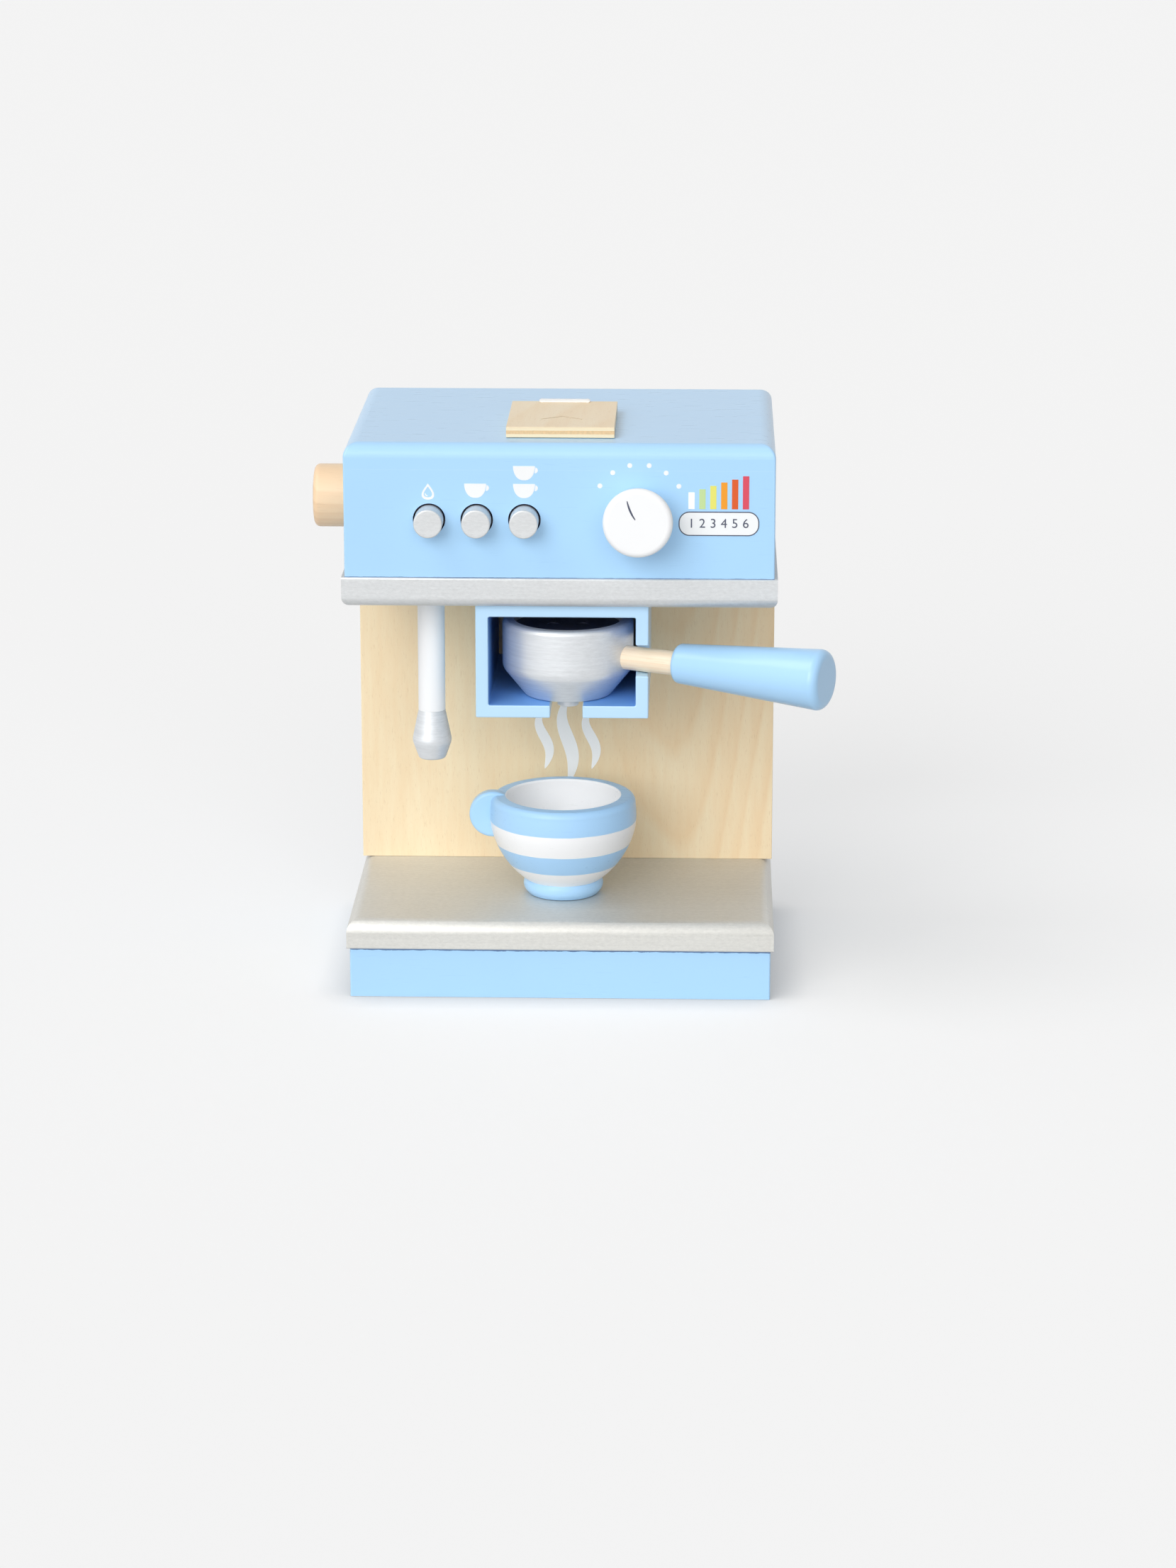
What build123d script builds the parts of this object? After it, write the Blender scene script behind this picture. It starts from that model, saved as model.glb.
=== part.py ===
from build123d import *
from math import cos, radians, sin, sqrt
import os

os.makedirs("parts", exist_ok=True)

# Wooden toy coffee maker, in millimetres. X points right, Y to the back and Z up. The origin is the
# centre of the plinth's underside. A setback is a distance behind the front face of the case.

# Case
case_width = 200.0
case_depth = 150.0
wall = 10.0
edge_softening = 0.8
plinth_height = 24.0
base_thickness = 5.0
trim_thickness = 14.0
trim_side_overhang = 1.5
trim_front_overhang = 1.5
tray_rounding = 6.0
band_rounding = 4.5
bay_height = 153.0
bay_depth = 106.5
back_board_thickness = 6.0
back_board_overhang = 1.8
rear_panel_thickness = 6.0
head_height = 63.0
head_rounding = 6.5
front_panel_thickness = 12.0
top_thickness = 12.0
glue_gap = 0.05
running_gap = 0.05
rest_gap = 0.25

# Screws that hold the rear panel
screw_head_diameter = 6.0
screw_head_height = 2.2
screw_shank_diameter = 3.0
screw_length = 16.0
screw_end_margin = 15.0
screw_rows = 2

# Lid, its ribbon hinge and the well for the pods
pod_diameter = 50.5
pod_play = 1.5
well_width = 41.0
well_setback = 26.0
well_wall = 4.0
lid_thickness = 5.0
lid_side_overlap = 4.7
lid_front_overlap = 10.0
lid_back_overlap = 4.0
lid_corner_radius = 1.0
ribbon_width = 24.5
ribbon_thickness = 0.7
ribbon_lap = 3.4
ribbon_tail_depth = 6.0
ribbon_tail_offset = 1.35
ribbon_fold_radius = 0.65
ribbon_slot_gap = 0.15

# Push buttons
button_count = 3
button_pitch = 22.1
first_button_x = -60.3
button_height = 27.6
button_diameter = 13.4
button_clearance = 0.8
button_reach = 11.0
button_edge = 0.5
button_travel = 6.0
button_stop_gap = 0.8
flange_diameter = 19.0
flange_thickness = 3.0
flange_gap = 0.2
spring_bore_diameter = 7.4
spring_bore_depth = 12.0
spring_diameter = 6.2
spring_wire = 0.9
spring_wire_sides = 4
spring_turns = 3
spring_end_gap = 0.1

# Dial
dial_x = 36.7
dial_height = 30.5
dial_front_diameter = 33.4
dial_back_diameter = 25.0
dial_depth = 21.0
dial_edge_chamfer = 1.5
knob_gap = 0.3
shaft_diameter = 8.0
shaft_socket_depth = 9.0
washer_diameter = 16.0
washer_thickness = 4.0
shaft_tail = 1.0

# Steam knob on the left side
steam_knob_diameter = 30.0
steam_knob_depth = 18.0
steam_knob_edge_chamfer = 1.6
steam_knob_height = 27.0
steam_knob_setback = 57.0

# Steam wand
wand_x = -62.4
wand_setback = 40.0
wand_diameter = 12.9
wand_length = 59.5
wand_socket_depth = 8.0
tip_length = 24.0
tip_widest_diameter = 18.4
tip_widest_drop = 15.0
tip_belly_height = 3.0
tip_end_diameter = 12.6
tip_pin_diameter = 6.0
tip_pin_length = 9.0

# Holder for the portafilter
holder_x = 1.0
holder_setback = 5.0
holder_width = 81.0
holder_height = 54.5
holder_wall = 6.0
neck_notch_height = 14.7
neck_notch_drop = 19.3
neck_notch_setback = 37.5
spout_slot_width = 15.2
spout_slot_setback = 38.6

# Portafilter
filter_x = 3.0
filter_setback = 31.0
basket_diameter = 62.0
basket_base_diameter = 41.0
basket_height = 36.2
basket_cone_height = 13.2
basket_rim_chamfer = 1.5
basket_recess_diameter = 50.0
basket_recess_depth = 4.5
disc_thickness = 1.5
disc_dot_diameter = 5.5
disc_dot_spacing = 14.0
disc_dot_depth = 0.5
spout_diameter = 10.2
spout_length = 6.0
spout_pin_diameter = 6.0
spout_pin_length = 10.0
handle_yaw = 25.3
handle_height = 20.2
neck_diameter = 11.5
neck_root_radius = 22.0
grip_start_radius = 57.0
grip_length = 76.0
grip_start_diameter = 18.5
grip_end_diameter = 29.0
grip_start_chamfer = 1.6
grip_end_chamfer = 2.4
grip_socket_depth = 12.0

# Cup
cup_x = 0.0
cup_setback = 50.0
cup_height = 48.5
cup_bowl_diameter = 70.8
cup_bowl_centre_height = 38.0
cup_rim_diameter = 65.0
cup_mouth_diameter = 54.6
cup_shoulder_height = 44.6
cup_waist_height = 7.3
cup_foot_diameter = 38.5
cup_foot_base_diameter = 34.0
cup_foot_bevel = 2.2
cup_inside_depth = 32.0
cup_inside_base_diameter = 40.0
cup_handle_radius = 11.3
cup_handle_thickness = 6.5
cup_handle_offset = 34.0
cup_handle_height = 38.8
cup_handle_chamfer = 1.2

# Levels and faces that the pieces share
front_y = -case_depth / 2
back_y = case_depth / 2
side_x = case_width / 2
tray_bottom = plinth_height
tray_top = tray_bottom + trim_thickness
band_bottom = tray_top + bay_height
band_top = band_bottom + trim_thickness
head_top_underside = band_top + head_height - top_thickness
head_top_face = band_top + head_height
trim_x = side_x + trim_side_overhang
trim_front_y = front_y - trim_front_overhang
bay_back_y = front_y + bay_depth
column_front_y = bay_back_y + back_board_thickness
rear_panel_y = back_y - rear_panel_thickness
inner_front_y = front_y + front_panel_thickness
inner_back_y = back_y - wall
inner_x = side_x - wall
button_z = band_top + button_height
button_xs = [first_button_x + button_pitch * index for index in range(button_count)]
dial_z = band_top + dial_height
steam_z = band_top + steam_knob_height
steam_y = front_y + steam_knob_setback
well_front_y = front_y + well_setback
well_back_y = well_front_y + pod_diameter + pod_play
well_x = well_width / 2
flange_front_y = inner_front_y + flange_gap
flange_back_y = flange_front_y + flange_thickness
rail_front_y = flange_back_y + button_travel + button_stop_gap


def box_between(low, high, mode=Mode.ADD):
    """A box between two opposite corners, in the block that is open."""
    with Locations(tuple((a + b) / 2 for a, b in zip(low, high))):
        Box(*[b - a for a, b in zip(low, high)], mode=mode)


def upright_plane(x, y, z=0.0):
    """A vertical plane for a turned profile: local X is the radius and local Y is up."""
    return Plane(origin=(x, y, z), x_dir=(1, 0, 0), z_dir=(0, -1, 0))


def finish(piece, name):
    """Label a finished piece and write it."""
    piece.part.label = name
    export_step(piece.part, f"parts/{name}.step")


# ---------------------------------------------------------------- Plinth

with BuildPart() as base_plate:
    box_between(
        (-inner_x, front_y + wall, 0), (inner_x, inner_back_y, base_thickness)
    )
finish(base_plate, "base_plate")

with BuildPart() as plinth_front:
    box_between((-side_x, front_y, 0), (side_x, front_y + wall, plinth_height))
    front_corners = plinth_front.edges().filter_by(Axis.Z).group_by(Axis.Y)[0]
    fillet(front_corners, edge_softening)
finish(plinth_front, "plinth_front")

with BuildPart() as plinth_back:
    box_between((-side_x, inner_back_y, 0), (side_x, back_y, plinth_height))
    back_corners = plinth_back.edges().filter_by(Axis.Z).group_by(Axis.Y)[-1]
    fillet(back_corners, edge_softening)
finish(plinth_back, "plinth_back")

for side, name in ((-1, "plinth_left"), (1, "plinth_right")):
    with BuildPart() as plinth_side:
        side_xs = sorted((side * inner_x, side * side_x))
        box_between(
            (side_xs[0], front_y + wall, 0), (side_xs[1], inner_back_y, plinth_height)
        )
    finish(plinth_side, name)

# ---------------------------------------------------------------- Silver boards

with BuildPart() as tray_board:
    box_between((-trim_x, trim_front_y, tray_bottom), (trim_x, back_y, tray_top))
    tray_edges = tray_board.faces().sort_by(Axis.Z)[-1].edges()
    fillet(tray_edges - tray_edges.group_by(Axis.Y)[-1], tray_rounding)
    lower_edges = tray_board.faces().sort_by(Axis.Z)[0].edges()
    fillet(lower_edges.group_by(Axis.Y)[0], edge_softening)
finish(tray_board, "tray_board")

with BuildPart() as band_board:
    box_between((-trim_x, trim_front_y, band_bottom), (trim_x, back_y, band_top))
    band_edges = band_board.faces().sort_by(Axis.Z)[0].edges()
    fillet(band_edges - band_edges.group_by(Axis.Y)[-1], band_rounding)
    upper_edges = band_board.faces().sort_by(Axis.Z)[-1].edges()
    fillet(upper_edges.group_by(Axis.Y)[0], edge_softening)
    with Locations((wand_x, front_y + wand_setback, band_bottom)):
        Cylinder(
            wand_diameter / 2 + glue_gap,
            wand_socket_depth,
            align=(Align.CENTER, Align.CENTER, Align.MIN),
            mode=Mode.SUBTRACT,
        )
finish(band_board, "band_board")

# ---------------------------------------------------------------- Rear column

back_board_x = side_x + back_board_overhang
with BuildPart() as back_board:
    box_between(
        (-back_board_x, bay_back_y, tray_top), (back_board_x, column_front_y, band_bottom)
    )
finish(back_board, "back_board")

screw_xs = (-side_x + wall / 2, side_x - wall / 2)
screw_span = bay_height - 2 * screw_end_margin
screw_zs = [
    tray_top + screw_end_margin + screw_span * row / (screw_rows - 1)
    for row in range(screw_rows)
]
screw_places = [(x, back_y, z) for x in screw_xs for z in screw_zs]
screw_hole_diameter = screw_shank_diameter + 2 * glue_gap
screw_head_hole_diameter = screw_head_diameter + 2 * glue_gap


def turned_screws(head_diameter, shank_diameter, length, mode=Mode.ADD):
    """Countersunk screws, or the holes for them, from the rear panel's face inwards."""
    head = head_diameter / 2
    shank = shank_diameter / 2
    for place in screw_places:
        with BuildSketch(Plane.XY.move(Location(place))) as profile:
            with BuildLine():
                Polyline(
                    (0, 0),
                    (head, 0),
                    (shank, -screw_head_height),
                    (shank, -length),
                    (0, -length),
                    close=True,
                )
            make_face()
        revolve(profile.sketch, axis=Axis(place, (0, 1, 0)), mode=mode)


for side, name in ((-1, "column_left"), (1, "column_right")):
    with BuildPart() as column_side:
        side_xs = sorted((side * inner_x, side * side_x))
        box_between(
            (side_xs[0], column_front_y, tray_top), (side_xs[1], rear_panel_y, band_bottom)
        )
        turned_screws(
            screw_head_hole_diameter,
            screw_hole_diameter,
            screw_length + glue_gap,
            mode=Mode.SUBTRACT,
        )
    finish(column_side, name)

with BuildPart() as rear_panel:
    box_between((-side_x, rear_panel_y, tray_top), (side_x, back_y, band_bottom))
    back_corners = rear_panel.edges().filter_by(Axis.Z).group_by(Axis.Y)[-1]
    fillet(back_corners, edge_softening)
    turned_screws(
        screw_head_hole_diameter, screw_hole_diameter, screw_length, mode=Mode.SUBTRACT
    )
finish(rear_panel, "rear_panel")

with BuildPart() as rear_screws:
    turned_screws(screw_head_diameter, screw_shank_diameter, screw_length)
finish(rear_screws, "rear_screws")

# ---------------------------------------------------------------- Head

with BuildPart() as head_front:
    box_between(
        (-side_x, front_y, band_top), (side_x, inner_front_y, head_top_underside)
    )
    front_corners = head_front.edges().filter_by(Axis.Z).group_by(Axis.Y)[0]
    fillet(front_corners, edge_softening)
    with BuildSketch(Plane.XZ.offset(-front_y)):
        with Locations([(x, button_z) for x in button_xs]):
            Circle(button_diameter / 2 + button_clearance)
        with Locations((dial_x, dial_z)):
            Circle(shaft_diameter / 2 + running_gap)
    extrude(amount=-front_panel_thickness, mode=Mode.SUBTRACT)
finish(head_front, "head_front")

with BuildPart() as head_back:
    box_between((-side_x, inner_back_y, band_top), (side_x, back_y, head_top_underside))
    back_corners = head_back.edges().filter_by(Axis.Z).group_by(Axis.Y)[-1]
    fillet(back_corners, edge_softening)
finish(head_back, "head_back")

with BuildPart() as head_right:
    box_between(
        (inner_x, inner_front_y, band_top), (side_x, inner_back_y, head_top_underside)
    )
finish(head_right, "head_right")

with BuildPart() as head_left:
    box_between(
        (-side_x, inner_front_y, band_top), (-inner_x, inner_back_y, head_top_underside)
    )
    with Locations(Location((-side_x + wall / 2, steam_y, steam_z), (0, 90, 0))):
        Cylinder(shaft_diameter / 2 + running_gap, wall, mode=Mode.SUBTRACT)
finish(head_left, "head_left")

ribbon_tail_y = well_back_y + lid_back_overlap + ribbon_tail_offset
with BuildPart() as head_top:
    box_between(
        (-side_x, front_y, head_top_underside), (side_x, back_y, head_top_face)
    )
    fillet(head_top.edges().filter_by(Axis.Z), edge_softening)
    fillet(head_top.faces().sort_by(Axis.Z)[-1].edges(), head_rounding)
    box_between(
        (-well_x, well_front_y, head_top_underside), (well_x, well_back_y, head_top_face),
        mode=Mode.SUBTRACT,
    )
    box_between(
        (
            -ribbon_width / 2 - ribbon_slot_gap,
            ribbon_tail_y - ribbon_slot_gap,
            head_top_face - ribbon_tail_depth,
        ),
        (
            ribbon_width / 2 + ribbon_slot_gap,
            ribbon_tail_y + ribbon_thickness + ribbon_slot_gap,
            head_top_face,
        ),
        mode=Mode.SUBTRACT,
    )
finish(head_top, "head_top")

# ---------------------------------------------------------------- Pod well and spring rail

with BuildPart() as spring_rail:
    box_between((-inner_x, rail_front_y, band_top), (inner_x, well_front_y, head_top_underside))
finish(spring_rail, "spring_rail")

for side, name in ((-1, "well_left"), (1, "well_right")):
    with BuildPart() as well_side:
        side_xs = sorted((side * well_x, side * (well_x + well_wall)))
        box_between(
            (side_xs[0], well_front_y, band_top), (side_xs[1], well_back_y, head_top_underside)
        )
    finish(well_side, name)

with BuildPart() as well_back:
    box_between(
        (-well_x - well_wall, well_back_y, band_top),
        (well_x + well_wall, well_back_y + well_wall, head_top_underside),
    )
finish(well_back, "well_back")

# ---------------------------------------------------------------- Lid and ribbon hinge

lid_x = well_x + lid_side_overlap
lid_front_y = well_front_y - lid_front_overlap
lid_back_y = well_back_y + lid_back_overlap
lid_bottom = head_top_face + rest_gap
lid_top = lid_bottom + lid_thickness

with BuildPart() as lid:
    box_between((-lid_x, lid_front_y, lid_bottom), (lid_x, lid_back_y, lid_top))
    fillet(lid.edges().filter_by(Axis.Z), lid_corner_radius)
finish(lid, "lid")

with BuildPart() as ribbon_tail:
    box_between(
        (-ribbon_width / 2, ribbon_tail_y, head_top_face - ribbon_tail_depth),
        (ribbon_width / 2, ribbon_tail_y + ribbon_thickness, head_top_face + rest_gap),
    )
finish(ribbon_tail, "ribbon_tail")

with BuildPart() as ribbon_leaf:
    box_between(
        (-ribbon_width / 2, lid_back_y - ribbon_lap, lid_bottom),
        (ribbon_width / 2, lid_back_y + ribbon_thickness, lid_top + ribbon_thickness),
    )
    fold = ribbon_leaf.edges().filter_by(Axis.X).group_by(Axis.Z)[-1].sort_by(Axis.Y)[-1]
    fillet(fold, ribbon_fold_radius)
    box_between(
        (-ribbon_width / 2, lid_back_y - ribbon_lap, lid_bottom),
        (ribbon_width / 2, lid_back_y, lid_top),
        mode=Mode.SUBTRACT,
    )
finish(ribbon_leaf, "ribbon_leaf")

# ---------------------------------------------------------------- Buttons and their springs

button_tip_y = front_y - button_reach
bore_end_y = flange_back_y - spring_bore_depth
spring_front_y = bore_end_y + spring_end_gap
spring_length = rail_front_y - spring_end_gap - spring_front_y
spring_height = spring_length - spring_wire

for number, x in enumerate(button_xs, start=1):
    with BuildPart() as button:
        with BuildSketch(Plane(origin=(x, 0, button_z), x_dir=(0, 1, 0), z_dir=(1, 0, 0))):
            with BuildLine():
                Polyline(
                    (button_tip_y, 0),
                    (button_tip_y, button_diameter / 2),
                    (flange_front_y, button_diameter / 2),
                    (flange_front_y, flange_diameter / 2),
                    (flange_back_y, flange_diameter / 2),
                    (flange_back_y, spring_bore_diameter / 2),
                    (bore_end_y, spring_bore_diameter / 2),
                    (bore_end_y, 0),
                    close=True,
                )
            make_face()
        revolve(axis=Axis((x, 0, button_z), (0, 1, 0)))
        chamfer(button.edges().filter_by(GeomType.CIRCLE).sort_by(Axis.Y)[0], button_edge)
    finish(button, f"button_{number}")

    with BuildPart() as spring:
        with BuildLine() as coil:
            Helix(
                pitch=spring_height / spring_turns,
                height=spring_height,
                radius=(spring_diameter - spring_wire) / 2,
                center=(x, spring_front_y + spring_wire / 2, button_z),
                direction=(0, 1, 0),
            )
        with BuildSketch(coil.line ^ 0):
            RegularPolygon(spring_wire / 2, spring_wire_sides)
        sweep(path=coil.line, is_frenet=True)
    finish(spring, f"spring_{number}")

# ---------------------------------------------------------------- Dial

dial_back_y = front_y - knob_gap
dial_plane = Plane(origin=(dial_x, 0, dial_z), x_dir=(0, 1, 0), z_dir=(1, 0, 0))
dial_axis = Axis((dial_x, 0, dial_z), (0, 1, 0))
socket_radius = shaft_diameter / 2 + glue_gap

with BuildPart() as dial:
    with BuildSketch(dial_plane) as dial_outline:
        with BuildLine():
            Polyline(
                (dial_back_y - dial_depth, 0),
                (dial_back_y - dial_depth, dial_front_diameter / 2),
                (dial_back_y, dial_back_diameter / 2),
                (dial_back_y, socket_radius),
                (dial_back_y - shaft_socket_depth, socket_radius),
                (dial_back_y - shaft_socket_depth, 0),
                close=True,
            )
        make_face()
        chamfer(dial_outline.vertices().sort_by(Axis.Y)[-1], dial_edge_chamfer)
    revolve(axis=dial_axis)
finish(dial, "dial")

dial_washer_y = inner_front_y + knob_gap
shaft_end_y = dial_washer_y + washer_thickness + shaft_tail
with BuildPart() as dial_shaft:
    with BuildSketch(Plane.XZ.offset(-(dial_back_y - shaft_socket_depth + glue_gap))):
        with Locations((dial_x, dial_z)):
            Circle(shaft_diameter / 2)
    extrude(amount=-(shaft_end_y - dial_back_y + shaft_socket_depth - glue_gap))
finish(dial_shaft, "dial_shaft")

with BuildPart() as dial_washer:
    with BuildSketch(Plane.XZ.offset(-dial_washer_y)):
        with Locations((dial_x, dial_z)):
            Circle(washer_diameter / 2)
            Circle(socket_radius, mode=Mode.SUBTRACT)
    extrude(amount=-washer_thickness)
finish(dial_washer, "dial_washer")

# ---------------------------------------------------------------- Steam knob

knob_inner_x = -side_x - knob_gap
knob_outer_x = knob_inner_x - steam_knob_depth
steam_axis = Axis((0, steam_y, steam_z), (1, 0, 0))

with BuildPart() as steam_knob:
    with BuildSketch(upright_plane(0, steam_y, steam_z)) as knob_outline:
        with BuildLine():
            Polyline(
                (knob_outer_x, 0),
                (knob_outer_x, steam_knob_diameter / 2),
                (knob_inner_x, steam_knob_diameter / 2),
                (knob_inner_x, socket_radius),
                (knob_inner_x - shaft_socket_depth, socket_radius),
                (knob_inner_x - shaft_socket_depth, 0),
                close=True,
            )
        make_face()
        chamfer(
            knob_outline.vertices().group_by(Axis.Y)[-1].sort_by(Axis.X)[0],
            steam_knob_edge_chamfer,
        )
    revolve(axis=steam_axis)
finish(steam_knob, "steam_knob")

steam_washer_x = -inner_x + knob_gap
steam_shaft_start_x = knob_inner_x - shaft_socket_depth + glue_gap
steam_shaft_end_x = steam_washer_x + washer_thickness + shaft_tail
with BuildPart() as steam_shaft:
    with BuildSketch(Plane.YZ.offset(steam_shaft_start_x)):
        with Locations((steam_y, steam_z)):
            Circle(shaft_diameter / 2)
    extrude(amount=steam_shaft_end_x - steam_shaft_start_x)
finish(steam_shaft, "steam_shaft")

with BuildPart() as steam_washer:
    with BuildSketch(Plane.YZ.offset(steam_washer_x)):
        with Locations((steam_y, steam_z)):
            Circle(washer_diameter / 2)
            Circle(socket_radius, mode=Mode.SUBTRACT)
    extrude(amount=washer_thickness)
finish(steam_washer, "steam_washer")

# ---------------------------------------------------------------- Steam wand

wand_y = front_y + wand_setback
wand_bottom = band_bottom - wand_length
wand_plane = upright_plane(wand_x, wand_y)
wand_axis = Axis((wand_x, wand_y, 0), (0, 0, 1))

with BuildPart() as wand_tube:
    with BuildSketch(wand_plane):
        with BuildLine():
            Polyline(
                (0, band_bottom + wand_socket_depth - glue_gap),
                (wand_diameter / 2, band_bottom + wand_socket_depth - glue_gap),
                (wand_diameter / 2, wand_bottom),
                (tip_pin_diameter / 2 + glue_gap, wand_bottom),
                (tip_pin_diameter / 2 + glue_gap, wand_bottom + tip_pin_length + glue_gap),
                (0, wand_bottom + tip_pin_length + glue_gap),
                close=True,
            )
        make_face()
    revolve(axis=wand_axis)
finish(wand_tube, "wand_tube")

tip_end = wand_bottom - tip_length
tip_widest = wand_bottom - tip_widest_drop
with BuildPart() as wand_tip:
    with BuildSketch(wand_plane):
        with BuildLine():
            Polyline(
                (0, tip_end),
                (tip_end_diameter / 2, tip_end),
                (tip_widest_diameter / 2, tip_widest - tip_belly_height / 2),
                (tip_widest_diameter / 2, tip_widest + tip_belly_height / 2),
                (wand_diameter / 2, wand_bottom),
                (tip_pin_diameter / 2, wand_bottom),
                (tip_pin_diameter / 2, wand_bottom + tip_pin_length),
                (0, wand_bottom + tip_pin_length),
                close=True,
            )
        make_face()
    revolve(axis=wand_axis)
finish(wand_tip, "wand_tip")

# ---------------------------------------------------------------- Holder

holder_front_y = front_y + holder_setback
holder_left_x = holder_x - holder_width / 2
holder_right_x = holder_x + holder_width / 2
holder_bottom_z = band_bottom - holder_height
holder_floor = holder_bottom_z + holder_wall
holder_ceiling = band_bottom - holder_wall

with BuildPart() as holder_top:
    box_between(
        (holder_left_x, holder_front_y, holder_ceiling), (holder_right_x, bay_back_y, band_bottom)
    )
finish(holder_top, "holder_top")

with BuildPart() as holder_left:
    box_between(
        (holder_left_x, holder_front_y, holder_floor),
        (holder_left_x + holder_wall, bay_back_y, holder_ceiling),
    )
finish(holder_left, "holder_left")

notch_top = band_bottom - neck_notch_drop
with BuildPart() as holder_right:
    box_between(
        (holder_right_x - holder_wall, holder_front_y, holder_floor),
        (holder_right_x, bay_back_y, holder_ceiling),
    )
    box_between(
        (holder_right_x - holder_wall, holder_front_y, notch_top - neck_notch_height),
        (holder_right_x, front_y + neck_notch_setback, notch_top),
        mode=Mode.SUBTRACT,
    )
finish(holder_right, "holder_right")

with BuildPart() as holder_bottom:
    box_between(
        (holder_left_x, holder_front_y, holder_bottom_z), (holder_right_x, bay_back_y, holder_floor)
    )
    slot_back_y = front_y + spout_slot_setback
    box_between(
        (filter_x - spout_slot_width / 2, holder_front_y, holder_bottom_z),
        (filter_x + spout_slot_width / 2, slot_back_y, holder_floor),
        mode=Mode.SUBTRACT,
    )
finish(holder_bottom, "holder_bottom")

# ---------------------------------------------------------------- Portafilter

filter_y = front_y + filter_setback
basket_bottom = holder_floor + rest_gap
basket_top = basket_bottom + basket_height
recess_floor = basket_top - basket_recess_depth
filter_plane = upright_plane(filter_x, filter_y)
filter_axis = Axis((filter_x, filter_y, 0), (0, 0, 1))
handle_z = basket_bottom + handle_height
handle_direction = (cos(radians(handle_yaw)), -sin(radians(handle_yaw)), 0)
handle_plane = Plane(
    origin=(filter_x, filter_y, handle_z),
    x_dir=handle_direction,
    z_dir=(handle_direction[1], -handle_direction[0], 0),
)
handle_axis = Axis((filter_x, filter_y, handle_z), handle_direction)
grip_end_radius = grip_start_radius + grip_length
neck_end_radius = grip_start_radius + grip_socket_depth

with BuildPart() as filter_basket:
    with BuildSketch(filter_plane) as basket_outline:
        with BuildLine():
            Polyline(
                (spout_pin_diameter / 2 + running_gap, basket_bottom),
                (basket_base_diameter / 2, basket_bottom),
                (basket_diameter / 2, basket_bottom + basket_cone_height),
                (basket_diameter / 2, basket_top),
                (basket_recess_diameter / 2, basket_top),
                (basket_recess_diameter / 2, recess_floor),
                (0, recess_floor),
                (0, basket_bottom + spout_pin_length + rest_gap),
                (spout_pin_diameter / 2 + running_gap, basket_bottom + spout_pin_length + rest_gap),
                close=True,
            )
        make_face()
        rim_corners = basket_outline.vertices().group_by(Axis.Y)[-1].sort_by(Axis.X)
        chamfer(rim_corners[-1], basket_rim_chamfer)
    revolve(axis=filter_axis)
    with BuildSketch(Plane(handle_plane.origin + handle_plane.x_dir * neck_root_radius,
                           x_dir=(0, 0, 1), z_dir=handle_direction)):
        Circle(neck_diameter / 2 + glue_gap)
    extrude(amount=basket_diameter / 2, mode=Mode.SUBTRACT)
finish(filter_basket, "filter_basket")

with BuildPart() as filter_disc:
    with BuildSketch(Plane.XY.offset(recess_floor)):
        with Locations((filter_x, filter_y)):
            Circle(basket_recess_diameter / 2 - glue_gap)
    extrude(amount=disc_thickness)
    with BuildSketch(Plane.XY.offset(recess_floor + disc_thickness)):
        with Locations((filter_x, filter_y)):
            with GridLocations(disc_dot_spacing, 0, 2, 1):
                Circle(disc_dot_diameter / 2)
    extrude(amount=-disc_dot_depth, mode=Mode.SUBTRACT)
finish(filter_disc, "filter_disc")

with BuildPart() as filter_spout:
    with BuildSketch(filter_plane):
        with BuildLine():
            Polyline(
                (0, basket_bottom - rest_gap - spout_length),
                (spout_diameter / 2, basket_bottom - rest_gap - spout_length),
                (spout_diameter / 2, basket_bottom - rest_gap),
                (spout_pin_diameter / 2, basket_bottom - rest_gap),
                (spout_pin_diameter / 2, basket_bottom + spout_pin_length),
                (0, basket_bottom + spout_pin_length),
                close=True,
            )
        make_face()
    revolve(axis=filter_axis)
finish(filter_spout, "filter_spout")

with BuildPart() as filter_neck:
    with BuildSketch(Plane(handle_plane.origin + handle_plane.x_dir * (neck_root_radius + glue_gap),
                           x_dir=(0, 0, 1), z_dir=handle_direction)):
        Circle(neck_diameter / 2)
    extrude(amount=neck_end_radius - neck_root_radius - 2 * glue_gap)
finish(filter_neck, "filter_neck")

with BuildPart() as filter_grip:
    with BuildSketch(handle_plane) as grip_outline:
        with BuildLine():
            Polyline(
                (neck_end_radius, 0),
                (neck_end_radius, neck_diameter / 2 + glue_gap),
                (grip_start_radius, neck_diameter / 2 + glue_gap),
                (grip_start_radius, grip_start_diameter / 2),
                (grip_end_radius, grip_end_diameter / 2),
                (grip_end_radius, 0),
                close=True,
            )
        make_face()
        chamfer(grip_outline.vertices().sort_by(Axis.Y)[-2], grip_start_chamfer)
        chamfer(grip_outline.vertices().sort_by(Axis.Y)[-1], grip_end_chamfer)
    revolve(axis=handle_axis)
finish(filter_grip, "filter_grip")

# ---------------------------------------------------------------- Cup

cup_y = front_y + cup_setback
cup_base = tray_top + rest_gap
cup_plane = upright_plane(cup_x, cup_y, cup_base)
cup_axis = Axis((cup_x, cup_y, 0), (0, 0, 1))
cup_rim_radius = cup_rim_diameter / 2
cup_floor_height = cup_height - cup_inside_depth
bowl_radius = cup_bowl_diameter / 2


def bowl_point(height):
    """The point of the bowl's round wall at this height above the foot."""
    return (sqrt(bowl_radius**2 - (height - cup_bowl_centre_height) ** 2), height)


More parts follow.
